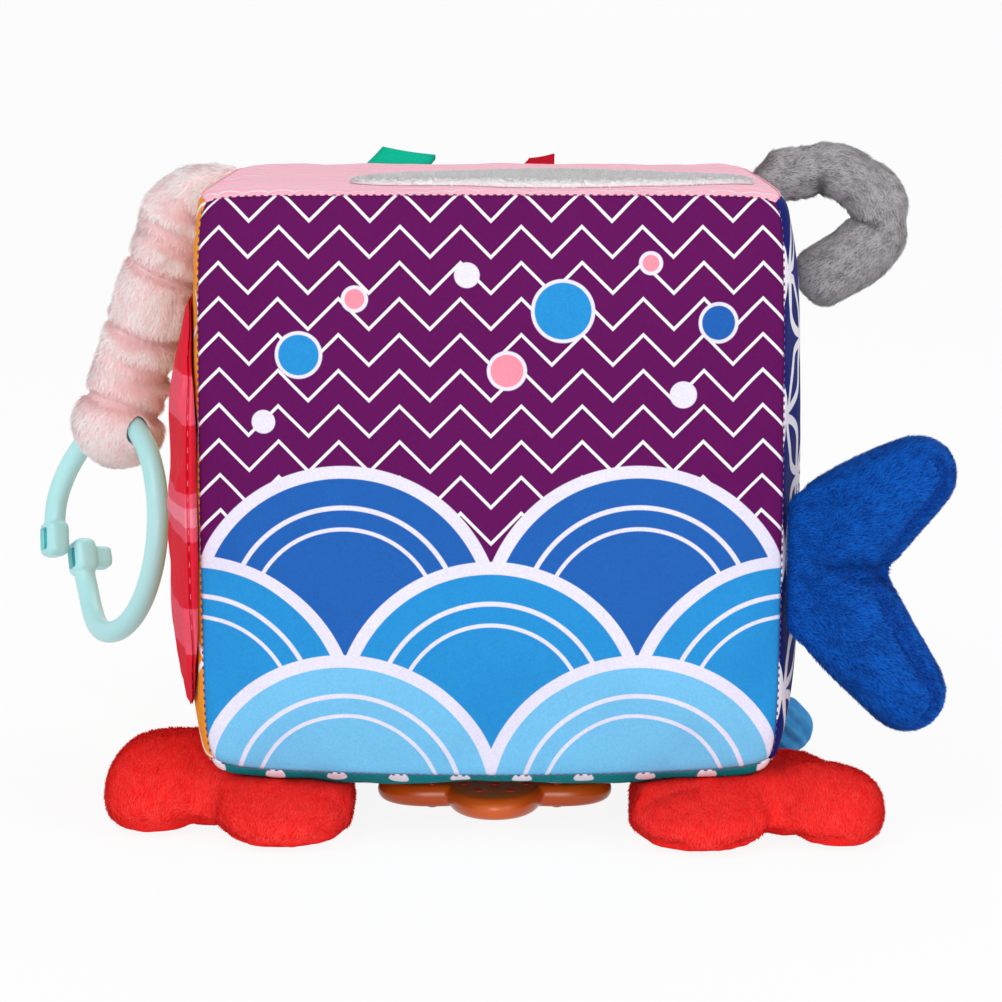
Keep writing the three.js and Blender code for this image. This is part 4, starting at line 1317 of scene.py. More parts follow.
def add_tag(name, material, rises, shifts):
    """Folded tag whose height and sideways shift differ at its left and right sides."""
    low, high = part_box(name)
    seat = pivot(f"{name}_bend")
    width = high[0] - low[0]
    rise_way = np.array([0, math.sin(TAG_LEAN), math.cos(TAG_LEAN)])
    layer_way = np.array([0, math.cos(TAG_LEAN), -math.sin(TAG_LEAN)])
    turn = np.linspace(0, math.pi, TAG_STEPS)
    leg = [(0.7, 0.75), (0.45, 0.4), (0.3, -0.16)]
    fold = [(-0.9 * math.cos(a), 0.86 + 0.1 * math.sin(a)) for a in turn]
    profile = [(-layer, height) for layer, height in leg[::-1]] + fold + leg
    rows = []
    for layer, height in profile:
        row = []
        for side in np.linspace(0, 1, TAG_SIDES):
            rise = rises[0] + (rises[1] - rises[0]) * side
            shift = (shifts[0] + (shifts[1] - shifts[0]) * side) * height
            bow = TAG_BOW * math.sin(math.pi * side) * height
            point = seat + np.array([(side - 0.5) * width + shift, 0, 0])
            row.append(point + rise_way * rise * height + layer_way * (layer * MM + bow))
        rows.append(row)
    path = np.array([row[TAG_SIDES // 2] for row in rows])
    tag, wide, length = strip(f"{name}_loop", path, rows, TAG_RIBBON, material)
    put_on(tag, name, name.replace("tag", "ribbon"), name)


add_tag(
    "green_tag", ribbon_material("green_ribbon", srgb(0, 164, 130), srgb(0, 200, 162)),
    rises=(6.8 * MM, 3.2 * MM), shifts=(5 * MM, 1.5 * MM))
add_tag(
    "red_tag", ribbon_material("red_ribbon", srgb(168, 4, 26), srgb(200, 12, 42)),
    rises=(1.7 * MM, 3.8 * MM), shifts=(1.5 * MM, 0.0))

# %% [markdown]
# ## Flap
# A padded flap hangs on the left panel from its top edge. It is two cloths sewn face to face, turned
# and filled with wadding, so it has a seam line round the middle of its edge. It is one closed cloth
# here: the seam and the back, which lies along the panel, are held, and Cloth with pressure fills the
# front.

# %% Flap
FLAP_ROUNDNESS = 2.4
FLAP_SEAM_ROUNDNESS = 5.0
FLAP_RIM = 2.8 * MM
FLAP_GROOVE = 0.955
FLAP_AHEAD = 9.2 * MM
FLAP_TAPER = 0.7
FLAP_SEAM_GAP = 0.15 * MM
FLAP_FRONT = 5.0 * MM
FLAP_BACK = 0.3 * MM
FLAP_RINGS = 22
FLAP_SECTORS = 96
FLAP_STITCH = (4.2 * MM, 2.4 * MM, 0.6 * MM)
FLAP_RED = srgb(222, 30, 52)
FLAP_BANDS = [(30.0, 12.5, srgb(234, 82, 104)), (60.0, 5.0, srgb(244, 132, 150))]


def draw_flap(across, up):
    colour = FLAP_RED
    for pitch, wide, ink in FLAP_BANDS:
        band = calc("PINGPONG", up, pitch / 2)
        colour = mix(1.0 - rising(band, wide / 2 - 0.2, wide / 2 + 0.2), colour, ink)
    return colour


def superellipse(angle, power):
    return [np.sign(f) * np.abs(f) ** (2 / power) for f in (np.cos(angle), np.sin(angle))]


def cloth_beside(cloth, y, z):
    """How far out the left panel is at a place, or at its seam where the place is in front of it."""
    hit = None
    while hit is None:
        hit = cloth.ray_cast((-1, y, z), (1, 0, 0))[0]
        y += FLAP_SEAM_GAP
    return hit.x


def add_flap():
    nodes = ("flap_front_cloth", "flap_wadding", "flap_back_cloth")
    boxes = [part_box(node) for node in nodes]
    low = np.min([np.array(b[0]) for b in boxes], axis=0)
    high = np.max([np.array(b[1]) for b in boxes], axis=0)
    low[1] -= FLAP_AHEAD
    middle, half = (low + high) / 2, (high - low) / 2
    cloth = surface_of(panels["left"])
    front_seam = points_of(panels["left"])[:, 1].min()
    reach, angle = disc_places(FLAP_RINGS, FLAP_SECTORS)
    on_rim = reach > 0.999
    y_way, z_way = superellipse(angle, FLAP_ROUNDNESS)
    y_way = np.where(y_way < 0, superellipse(angle, FLAP_SEAM_ROUNDNESS)[0], y_way)
    drawn = np.where(on_rim, FLAP_GROOVE, reach)
    y = middle[1] + half[1] * drawn * y_way
    z = middle[2] + half[2] * drawn * z_way
    over = np.maximum(y, front_seam + FLAP_SEAM_GAP)
    ground = np.array([cloth_beside(cloth, a, b) for a, b in zip(over, z)])
    bulge = np.sqrt(np.maximum(0, 1 - reach ** 7))
    fullness = np.sqrt(np.maximum(0, 1 - reach ** 20))
    taper = 1 - FLAP_TAPER * smooth_step(np.abs(z - middle[2]) / half[2], 0.45, 1.0)
    rim = FLAP_BACK + (FLAP_RIM - FLAP_BACK) * taper
    front = np.column_stack([ground - rim - (FLAP_FRONT - FLAP_RIM) * taper * bulge, y, z])
    back = np.column_stack([ground - rim + (rim - FLAP_BACK) * fullness, y, z])
    groove = front[on_rim]
    back[on_rim, 0] += 0.3 * MM
    flap = new_object(
        "flap_pillow", np.concatenate([front, back]), disc_faces(FLAP_RINGS, FLAP_SECTORS),
        printed_cloth("flap_stripes", draw_flap))
    add_print_map(flap, np.tile(np.stack([y - middle[1], z - middle[2]], axis=1) / CUBE + 0.5, (2, 1)))
    face_outwards(flap)
    held = np.append(reach > 0.97, np.full(len(reach), True))
    swell(flap, held, pressure=2.0, slack=0.03, cap=0.9 * MM, bending=0.2)
    subdivide(flap)
    put_on(flap, "flap", "flap_cloth", *nodes)
    sew("flap_stitches", [groove], *FLAP_STITCH, PINK_THREAD, "flap", "flap_cloth")


add_flap()

# %% [markdown]
# ## Tail and claws
# These are flat-sewn plush shapes that are stuffed firmly. The CAD solids of each one are joined and
# remeshed to even cells, then smoothed and swelled. Where a swing would push the plush into the
# cube's cloth, it is pressed flat. The pile leans from the root to the tips.

# %% Room to swing
SEWN_REACH = 3 * MM


def press_clear(points, place, axis, degrees, cloth, way, gap):
    """Press points so that they stay clear of a cloth when their body is turned about a joint."""
    turn = np.array(Matrix.Rotation(math.radians(degrees), 3, axis))
    turned = (points - place) @ turn.T + place
    way = np.array(way, dtype=float)
    for i, point in enumerate(turned):
        off = point - place
        off["XYZ".index(axis)] = 0
        hit = cloth.ray_cast(Vector(point - way), Vector(way))[0]
        if hit and np.linalg.norm(off) > SEWN_REACH:
            turned[i] -= way * max(0, (point - np.array(hit)) @ way + gap)
    return (turned - place) @ turn + place


# %% Tail
TAIL_CELL = 1.7 * MM
TAIL_SMOOTHING = 10
TAIL_NOTCH = 26.5 * MM
TAIL_SEAM_SLOPE = 0.62
TAIL_SEAM_WIDTH = 0.13
TAIL_SEAM_DEPTH = 1.5 * MM
TAIL_BACK_SWING = 30
TAIL_ROOM = 1.2 * MM
TAIL_CREASE = 22 * MM
TAIL_CREASE_TILT = 0.12
TAIL_CREASE_WIDTH = 2.2 * MM
TAIL_CREASE_DEPTH = 3.2 * MM
TAIL_FAN = 0.02


def add_tail():
    nodes = ("tail_front_skin", "tail_back_skin", "tail_stuffing")
    skin = even_skin("tail_plush", nodes, TAIL_CELL, TAIL_SMOOTHING)
    root = pivot("tail_swing")
    held = points_of(skin)[:, 0] < root[0] + SEWN_REACH
    swell(skin, held, pressure=2.0, slack=0.02, cap=1.4 * MM)
    skin.data.materials.append(PLUSH["blue_plush"][0])
    subdivide(skin)
    points, normals = points_of(skin), normals_of(skin)
    slope = np.hypot(normals[:, 0], normals[:, 2])
    in_front = normals[:, 1] < 0
    to_tips = smooth_step(normals[:, 0], 0.1, 0.4) * in_front
    seam = np.exp(-((slope - TAIL_SEAM_SLOPE) / TAIL_SEAM_WIDTH) ** 2) * to_tips
    notch = root[0] + TAIL_NOTCH
    length = smooth_step(points[:, 0], notch - TAIL_CREASE, notch - TAIL_CREASE / 3)
    drop = points[:, 2] - root[2] - TAIL_CREASE_TILT * (notch - points[:, 0])
    crease = np.exp(-(drop / TAIL_CREASE_WIDTH) ** 2) * length * in_front
    depth = np.maximum(TAIL_SEAM_DEPTH * seam, TAIL_CREASE_DEPTH * crease)
    points = points - normals * depth[:, None]
    beside = surface_of(panels["right"])
    points = press_clear(points, root, "Z", TAIL_BACK_SWING, beside, (-1, 0, 0), TAIL_ROOM)
    place_points(skin, points)
    fan = TAIL_FAN * (points[:, 2] - root[2]) / MM
    nap = np.column_stack([np.ones(len(points)), np.zeros(len(points)), fan])
    # Painted shade in the tail's seam groove and crease, carried as hollow.
    hollow = np.maximum(seam, crease)
    finish_limb(
        skin, "tail", "blue_plush", nodes, fill=0.75, nap=nap, thick=1 - 0.6 * hollow, hollow=hollow,
        count=40000, length=1.4 * MM, rise=0.6 * MM, spread=0.5, seed=8)


add_tail()

# %% Claws
CLAW_CELL = 2.0 * MM
CLAW_SMOOTHING = 8
WEB_ASIDE = 73.5 * MM
WEB_AHEAD = 57 * MM
WEB_HEIGHT = 9.5 * MM
WEB_RADII = np.array([11.0, 12.0, 8.5]) * MM
BACK_DROP = 0.5
TIP_DROP = 0.46
SOLE_CLEAR = 0.15 * MM
CLAW_ROOM = 0.2 * MM
CLAW_SWING = 80
COVERED_PILE = 0.15
REACH_AHEAD = (20 * MM, 80 * MM)
OUTER_ASIDE = (66 * MM, 80 * MM)
OUTER_AHEAD = (10 * MM, 60 * MM)
PALM_ASIDE = (68 * MM, 82 * MM)
PALM_RUN = 36 * MM
TIP_AHEAD = (48 * MM, 84 * MM)


def shape_claw(points, sign, reach, outer_reach, low_from):
    """Slope the pincers to the table, lengthen them, and lower the palm outside the cube."""
    aside = sign * (points[:, 0] - CUBE_MIDDLE[0])
    ahead = CUBE_MIDDLE[1] - points[:, 1]
    behind = 1 - smooth_step(ahead, low_from - PALM_RUN, low_from)
    outer = smooth_step(aside, *OUTER_ASIDE) * smooth_step(ahead, *OUTER_AHEAD)
    shaped = points.copy()
    shaped[:, 1] -= reach * smooth_step(ahead, *REACH_AHEAD) + outer_reach * outer
    shaped[:, 2] *= 1 - BACK_DROP * smooth_step(aside, *PALM_ASIDE) * behind
    shaped[:, 2] *= 1 - TIP_DROP * smooth_step(ahead, *TIP_AHEAD)
    return shaped


def add_claw(side, sign, reach, outer_reach, low_from, seed):
    nodes = tuple(f"claw_{side}_{part}" for part in ("sole_skin", "top_skin", "stuffing"))
    web = np.array([CUBE_MIDDLE[0] + sign * WEB_ASIDE, CUBE_MIDDLE[1] - WEB_AHEAD, WEB_HEIGHT])
    skin = even_skin(f"claw_{side}_plush", nodes, CLAW_CELL, CLAW_SMOOTHING, [(web, WEB_RADII)])
    place_points(skin, shape_claw(points_of(skin), sign, reach, outer_reach, low_from))
    points = points_of(skin)
    root = pivot(f"claw_{side}_swing")
    held = (points[:, 1] > root[1] - 6 * MM) | (points[:, 2] < 1.2 * MM)
    swell(skin, held, pressure=2.5, slack=0.03, cap=1.8 * MM)
    skin.data.materials.append(PLUSH["red_plush"][0])
    subdivide(skin)
    points = points_of(skin)
    below = surface_of(panels["bottom"])
    for i, point in enumerate(points):
        hit = below.ray_cast(Vector((point[0], point[1], -0.1)), (0, 0, 1))[0]
        if hit:
            points[i, 2] = min(point[2], hit.z - CLAW_ROOM)
    points[:, 2] = np.maximum(points[:, 2], SOLE_CLEAR)
    points = press_clear(points, root, "X", CLAW_SWING, below, (0, 0, 1), CLAW_ROOM)
    place_points(skin, points)
    bare = np.clip((points[:, 2] - 1.0 * MM) / (3 * MM), 0, 1)
    under = np.abs(points[:, 0] - CUBE_MIDDLE[0]) < HALF - 4 * MM
    behind = points[:, 1] > CUBE_MIDDLE[1] - HALF + 4 * MM
    covered = under & behind & (normals_of(skin)[:, 2] > 0.5)
    finish_limb(
        skin, f"claw_{side}", "red_plush", nodes, fill=0.8, nap=(0.0, -1.0, -0.35),
        thick=np.where(covered, COVERED_PILE, bare), hollow=0.0, count=60000, length=1.6 * MM,
        rise=0.6 * MM, spread=0.4, seed=seed)


add_claw("left", sign=-1, reach=0.0, outer_reach=0.0, low_from=44 * MM, seed=14)
add_claw("right", sign=1, reach=4 * MM, outer_reach=10 * MM, low_from=64 * MM, seed=15)

# %% [markdown]
# ## Tubes
# The ring, the arm, the trunk and the puff are tubes round a path, and the teether is a stack of
# rings as well. One function closes rings of points into a solid.

# %% Helpers for tubes
TAB_HALF = 0.7 * MM
ROOT_SLOPE = 0.55
ROOT_RINGS = 4
PATH_STEPS = 24
SIDEWAYS = np.array([0, 1.0, 0])


def full_turn(count):
    return np.linspace(0, 2 * math.pi, count, endpoint=False)


def smooth_path(points, count):
    """Evenly spaced points on a smooth curve through some points, and their distances along it."""
    points = np.array(points, float)
    padded = np.vstack([2 * points[0] - points[1], points, 2 * points[-1] - points[-2]])
    fine = []
    for a, b, c, d in zip(padded, padded[1:], padded[2:], padded[3:]):
        for t in np.linspace(0, 1, PATH_STEPS, endpoint=False):
            fine.append(0.5 * (
                2 * b + (c - a) * t + (2 * a - 5 * b + 4 * c - d) * t ** 2
                + (3 * b - a - 3 * c + d) * t ** 3))
    fine = np.array(fine + [points[-1]])
    run = np.concatenate([[0], np.cumsum(np.linalg.norm(np.diff(fine, axis=0), axis=1))])
    even = np.linspace(0, run[-1], count)
    return np.column_stack([np.interp(even, run, fine[:, k]) for k in range(3)]), even


def headings_of(path):
    heading = np.gradient(path, axis=0)
    return heading / np.linalg.norm(heading, axis=1)[:, None]


def closed_rings(name, rings, first, last, material):
    """Solid through rings of points, closed by a first and a last point."""
    count, sides = rings.shape[:2]
    faces = []
    for k in range(sides):
        after = (k + 1) % sides
        faces.append((count * sides, k, after))
        end = (count - 1) * sides
        faces.append((count * sides + 1, end + after, end + k))
        for ring in range(count - 1):
            a, b = ring * sides, (ring + 1) * sides
            faces.append((a + k, b + k, b + after, a + after))
    solid = new_object(name, [*rings.reshape(-1, 3), first, last], faces, material)
    face_outwards(solid)
    return solid


def tube(name, path, across, half_across, half_thick, sides, material):
    """Closed tube round a path, oval across one axis."""
    heading = headings_of(path)
    thick = np.cross(heading, across)
    thick /= np.linalg.norm(thick, axis=1)[:, None]
    wide = np.cross(thick, heading)
    angle = full_turn(sides)
    rings = (
        path[:, None, :]
        + wide[:, None, :] * (half_across[:, None] * np.cos(angle))[..., None]
        + thick[:, None, :] * (half_thick[:, None] * np.sin(angle))[..., None])
    return closed_rings(name, rings, path[0], path[-1], material)


def tube_places(rings, sides):
    """Number of the ring, and angle round it, of each point of a tube."""
    ring = np.append(np.repeat(np.arange(rings), sides), [0, rings - 1])
    return ring, np.append(np.tile(full_turn(sides), rings), [0, 0])


def round_tip(run, tip):
    """Share of its width that a tube with a round tip has along its run."""
    past = np.maximum(run - (run[-1] - tip), 0) / tip
    return np.sqrt(np.clip(1 - past ** 2, 0.01, 1))


def nearest_heading(points, path):
    """Heading of a path at the place on it nearest to each point."""
    apart = np.linalg.norm(points[:, None, :] - path[None, :, :], axis=2)
    return headings_of(path)[apart.argmin(axis=1)]


def hollow_near(points, marked, depth):
    """Depth, up to 1, of the marked point nearest to each point."""
    finder = KDTree(len(marked))
    for number, place in enumerate(marked):
        finder.insert(place, number)
    finder.balance()
    return np.clip([depth[finder.find(p)[1]] for p in points], 0, 1)


# %% [markdown]
# ## Link ring
# The ring is a moulded plastic hook that opens like a split ring. Its round wire passes itself at the
# side, and each end is a rounded block with a slot. Wire and blocks are joined into one smooth
# surface by a fine remesh, and the slots are cut last. A turquoise bar sits in each slot, and a peg
# beside one block.

# %% Ring
RING_RADIUS = 31.5 * MM
RING_WIRE = 3.2 * MM
RING_YAW = math.radians(31)
RING_LEAN = math.radians(7)
RING_FIRST = -154
RING_LAST = 196
RING_ASIDE = 4.4 * MM
RING_STEP = (14, 76)
BLOCK = np.array([11.0, 7.2, 9.6]) * MM
BLOCK_ROUNDING = 2.6 * MM
BLOCK_SLOT = np.array([6.6, 9.0, 4.6]) * MM
BLOCK_BAR = np.array([7.4, 4.8, 5.4]) * MM
SLOT_ROUNDING = 1.0 * MM
BAR_ROUNDING = 0.4 * MM
PEG = np.array([6.5, 6.0, 6.5]) * MM
PEG_ROUNDING = 1.6 * MM
RING_STEPS = 200
RING_SIDES = 20
RING_CELL = 0.45 * MM
RING_SMOOTHING = 4
ring_along = np.array([math.sin(RING_YAW), -math.cos(RING_YAW), 0])
ring_side = np.array([math.cos(RING_YAW), math.sin(RING_YAW), 0])
ring_up = np.array([0, 0, math.cos(RING_LEAN)]) + ring_side * math.sin(RING_LEAN)
ring_across = -np.cross(ring_along, ring_up)


def ring_place(degrees):
    """Point and outward way on the ring, stepped aside where its ends pass each other."""
    angle = math.radians(degrees)
    outward = ring_along * math.cos(angle) + ring_up * math.sin(angle)
    middle = pivot("ring_swing") - ring_up * RING_RADIUS
    step = smooth_step(RING_LAST - degrees, *RING_STEP) - smooth_step(degrees - RING_FIRST, *RING_STEP)
    return middle + outward * RING_RADIUS + ring_across * RING_ASIDE * step, outward


def rounded_box(name, size, middle, axes, rounding, material=None):
    """Box with rounded edges, along three axes."""
    mesh = bpy.data.meshes.new(name)
    with editing(mesh) as shape:
        bmesh.ops.create_cube(shape, size=1.0)
        for vert in shape.verts:
            vert.co = Vector(np.array(vert.co) * size)
        bmesh.ops.bevel(
            shape, geom=shape.edges[:], offset=rounding, segments=4, profile=0.5, affect="EDGES")
        for vert in shape.verts:
            vert.co = Vector(middle + np.array(vert.co) @ np.array(axes))
        shape.normal_update()
    mesh.shade_smooth()
    if material:
        mesh.materials.append(material)
    return show(name, mesh)


def join(thing, other):
    """Add the mesh of another object to an object, and delete the other."""
    with editing(thing.data) as shape:
        shape.from_mesh(other.data)
    bpy.data.objects.remove(other)


def plastic(name, dark, light, roughness):
    return mottled(name, dark, light, roughness, (40.0, 2.0), (500.0, 2.0), (0.05, 0.2 * MM))


def add_ring():
    path = np.array([ring_place(a)[0] for a in np.linspace(RING_FIRST, RING_LAST, RING_STEPS)])
    same = np.full(RING_STEPS, RING_WIRE)
    mint = plastic("mint_plastic", srgb(158, 222, 226), srgb(188, 236, 238), 0.32)
    turquoise = plastic("turquoise_plastic", srgb(20, 160, 170), srgb(40, 186, 190), 0.35)
    ring = tube("link_hook", path, ring_across, same, same, RING_SIDES, mint)
    ends = []
    for end in (RING_FIRST, RING_LAST):
        point, outward = ring_place(end)
        ends.append((point, (np.cross(ring_across, outward), ring_across, outward)))
    for point, axes in ends:
        join(ring, rounded_box("block", BLOCK, point, axes, BLOCK_ROUNDING))
    point, axes = ends[0]
    peg_place = point + ring_across * (BLOCK[1] + PEG[1]) * 0.45
    join(ring, rounded_box("peg", PEG, peg_place, axes, PEG_ROUNDING))
    remesh(ring, RING_CELL, RING_SMOOTHING)
    for point, axes in ends:
        cut_out(ring, rounded_box("slot", BLOCK_SLOT, point, axes, SLOT_ROUNDING))
    ring.data.materials.clear()
    ring.data.materials.append(mint)
    put_on(ring, "ring", "mint_plastic", "link_ring")
    for number, (point, axes) in enumerate(ends):
        bar = rounded_box(f"slot_bar_{number}", BLOCK_BAR, point, axes, BAR_ROUNDING, turquoise)
        put_on(bar, "ring", "mint_plastic")


add_ring()

# %% [markdown]
# ## Arm and trunk
# These are plush tubes. The arm hangs from the top left edge and is gathered into lumps by short
# creases. The trunk is folded over on itself at the top right edge. Each is a tube lofted along its
# spine; Cloth then swells it, with the gathers pinned.

# %% Arm
ARM_DIP = math.radians(12)
ARM_HANG = math.radians(72)
ARM_BEND = 21.5 * MM
ARM_STRAIGHT = 75 * MM
ARM_STATIONS = np.array([0, 15, 72, 88]) * MM
ARM_WIDTHS = np.array([8.5, 11.4, 11.8, 13.0, 12.6]) * MM
ARM_RINGS = 90
ARM_SIDES = 44
ARM_TIP = 12 * MM
ARM_CREASES = 14
ARM_NECK = 79 * MM
CREASE_START = 14 * MM
CREASE_RUN = 66 * MM
CREASE_WIDTH = 1.7 * MM
CREASE_SLANT = 2.2 * MM
CREASE_DEPTH = (1.6 * MM, 3.4 * MM)
CREASE_SIDE = (125, 50)
CREASE_HELD = 1.3 * MM
NECK_WIDTH = 3 * MM
NECK_DEPTH = 1.6 * MM
TUNNEL_ROOM = 0.4 * MM
TUNNEL_FLARE = 1.0 * MM
TUNNEL_STEPS = 40
TUNNEL_SIDES = 24
TUNNEL_ANGLES = (35, 145)
SEAM_OUT = 0.8 * MM


def arm_path():
    root = pivot("arm_swing") - np.array([SEAM_OUT, 0, 0])
    bend = np.linspace(ARM_DIP, ARM_HANG, 12)
    start = np.array([math.sin(ARM_DIP), 0, -math.cos(ARM_DIP)])
    spine = [root + ARM_BEND * (start + [-math.sin(a), 0, math.cos(a)]) for a in bend]
    way = np.array([-math.cos(ARM_HANG), 0, -math.sin(ARM_HANG)])
    spine += [spine[-1] + way * step for step in np.linspace(ARM_STRAIGHT / 6, ARM_STRAIGHT, 6)]
    return smooth_path(spine, ARM_RINGS)


def crease_depths(run, ring, angle):
    """Depth of the gathers: short creases at uneven places round the tube, and a neck before its tip."""
    chance = np.random.default_rng(4)
    depth = np.zeros(len(ring))
    for number in range(ARM_CREASES):
        place = CREASE_START + CREASE_RUN * (number + chance.uniform(0.1, 0.9)) / ARM_CREASES
        side = math.radians(chance.normal(*CREASE_SIDE))
        slant = chance.uniform(0, 2 * math.pi)
        line = place + CREASE_SLANT * np.sin(angle - slant)
        share = (0.5 + 0.5 * np.cos(angle - side)) ** 1.5
        crease = np.exp(-((run[ring] - line) / CREASE_WIDTH) ** 2)
        depth += chance.uniform(*CREASE_DEPTH) * share * crease
    return depth + NECK_DEPTH * np.exp(-((run[ring] - ARM_NECK) / NECK_WIDTH) ** 2)


def cut_tunnel(skin):
    """Cut the hole that the ring runs through, and give the ring's path in it."""
    path = np.array([ring_place(a)[0] for a in np.linspace(*TUNNEL_ANGLES, TUNNEL_STEPS)])
    room = RING_WIRE + TUNNEL_ROOM + TUNNEL_FLARE * np.linspace(-1, 1, TUNNEL_STEPS) ** 2
    cut_out(skin, tube("tunnel", path, ring_across, room, room, TUNNEL_SIDES, None))
    return path


def add_arm():
    nodes = ("arm_front_skin", "arm_back_skin", "arm_stuffing")
    path, run = arm_path()
    half_across = np.interp(run, [*ARM_STATIONS, run[-1]], ARM_WIDTHS) * round_tip(run, ARM_TIP)
    half_thick = np.minimum(half_across, TAB_HALF + ROOT_SLOPE * run)
    backing = PLUSH["pink_plush"][0]
    skin = tube("arm_plush", path, SIDEWAYS, half_across, half_thick, ARM_SIDES, backing)
    ring, angle = tube_places(ARM_RINGS, ARM_SIDES)
    depth = crease_depths(run, ring, angle)
    points, centre = points_of(skin), path[ring]
    reach = np.maximum(np.linalg.norm(points - centre, axis=1), 1e-6)
    place_points(skin, centre + (points - centre) * (1 - np.minimum(depth / reach, 0.5))[:, None])
    held = (depth > CREASE_HELD) | (ring < ROOT_RINGS)
    swell(skin, held, pressure=2.5, slack=0.05, cap=1.3 * MM, bending=0.15)
    creased = points_of(skin)
    subdivide(skin)
    wire = cut_tunnel(skin)
    points = points_of(skin)
    from_root = np.linalg.norm(points - path[0], axis=1)
    from_wire = np.linalg.norm(points[:, None, :] - wire[None, :, :], axis=2).min(axis=1)
    # The arm's creases get painted shade, carried as hollow.
    finish_limb(
        skin, "arm", "pink_plush", nodes, fill=0.5, nap=nearest_heading(points, path),
        thick=smooth_step(from_root, 0, 9 * MM) * smooth_step(from_wire, 4 * MM, 5 * MM),
        hollow=hollow_near(points, creased, depth / (2 * MM)), count=46000, length=2.2 * MM,
        rise=0.9 * MM, spread=0.6, seed=21)


add_arm()

# %% Trunk
TRUNK_SPINE = [
    (0, -0.3), (4.5, -1.2), (12.0, 0.0), (21.5, 1.0), (31.5, -4.0), (36.4, -13.5), (31.0, -22.0),
    (22.0, -28.2), (14.6, -32.4),
]
TRUNK_FOLD = 44 * MM
TRUNK_GATHER = 17 * MM
TRUNK_STATIONS = np.array([0, 12, 30, 44, 54]) * MM
TRUNK_WIDTHS = np.array([6.4, 7.2, 7, 7.8, 8.6, 8]) * MM
TRUNK_RINGS = 64
TRUNK_SIDES = 36
TRUNK_TIP = 6 * MM
TRUNK_ROOT_SLOPE = 1.9


def add_trunk():
    nodes = ("trunk_front_skin", "trunk_back_skin", "trunk_stuffing")
    root = pivot("trunk_swing") + np.array([SEAM_OUT, 0, 0])
    path, run = smooth_path([root + np.array([x, 0, z]) * MM for x, z in TRUNK_SPINE], TRUNK_RINGS)
    fold = np.exp(-((run - TRUNK_FOLD) / (2.2 * MM)) ** 2)
    gather = np.exp(-((run - TRUNK_GATHER) / (2.0 * MM)) ** 2)
    body = np.interp(run, [*TRUNK_STATIONS, run[-1]], TRUNK_WIDTHS) - 0.5 * MM * gather
    tip = round_tip(run, TRUNK_TIP)
    half_across = (body + 1.0 * MM * fold) * tip
    half_thick = np.minimum((body - 1.4 * MM * fold) * tip, TAB_HALF + TRUNK_ROOT_SLOPE * run)
    backing = PLUSH["grey_plush"][0]
    skin = tube("trunk_plush", path, SIDEWAYS, half_across, half_thick, TRUNK_SIDES, backing)
    ring, angle = tube_places(TRUNK_RINGS, TRUNK_SIDES)
    folded = np.maximum(fold, gather)[ring]
    held = (ring < ROOT_RINGS) | (folded > 0.9)
    swell(skin, held, pressure=2.5, slack=0.05, cap=1.2 * MM, bending=0.2)
    creased = points_of(skin)
    subdivide(skin)
    points = points_of(skin)
    inner = smooth_step(-np.sin(angle), -0.2, 0.8)
    # The inner side of the fold and the gather gets painted shade, carried as hollow.
    finish_limb(
        skin, "trunk", "grey_plush", nodes, fill=0.6, nap=nearest_heading(points, path), thick=1.0,
        hollow=0.9 * hollow_near(points, creased, folded * inner), count=32000, length=1.6 * MM,
        rise=0.7 * MM, spread=0.5, seed=31)


add_trunk()

# %% [markdown]
# ## Puff
# A small tube of light-blue cloth is gathered and sewn into the bottom right edge. Its gathers run
# along it as pleats that twist a little towards the tip.

# %% Puff
PUFF_LENGTH = 25 * MM
PUFF_TIP = 7 * MM
PUFF_DIP = math.radians(48)
PUFF_STATIONS = np.array([0, 6, 14, 25]) * MM
PUFF_WIDTHS = np.array([5.5, 7.0, 7.6, 7.6]) * MM
PUFF_PLEATS = 9
PLEAT_DEPTH = 0.24
PLEAT_TWIST = 0.08
PUFF_RINGS = 30
PUFF_SIDES = 108


def add_puff():
    nodes = ("puff_front_skin", "puff_back_skin", "puff_stuffing")
    way = np.array([math.cos(PUFF_DIP), 0, -math.sin(PUFF_DIP)])
    run = np.linspace(0, PUFF_LENGTH, PUFF_RINGS)
    path = pivot("puff_swing") + way * SEAM_OUT + run[:, None] * way
    half = np.interp(run, PUFF_STATIONS, PUFF_WIDTHS) * round_tip(run, PUFF_TIP)
    thick = np.minimum(half, TAB_HALF + ROOT_SLOPE * run)
    sky = mottled(
        "sky_cloth", srgb(22, 108, 178), srgb(88, 176, 228), 0.7, (240.0, 3.0), (2400.0, 2.0),
        (0.4, 0.15 * MM), Specular_IOR_Level=0.15)
    puff = tube("puff_cloth", path, SIDEWAYS, half, thick, PUFF_SIDES, sky)
    ring, angle = tube_places(PUFF_RINGS, PUFF_SIDES)
    pleat = 1 - PLEAT_DEPTH * (0.5 + 0.5 * np.cos(PUFF_PLEATS * angle + PLEAT_TWIST * ring))
    centre = path[ring]
    place_points(puff, centre + (points_of(puff) - centre) * pleat[:, None])
    put_on(puff, "puff", "sky_cloth", *nodes)


add_puff()

# %% [markdown]
# ## Teether and its ribbon
# The teether is a soft amber star with a round edge, a paler middle and rows of small bumps for the
# gums. A navy ribbon goes through a slot in one arm and is sewn to the bottom panel.

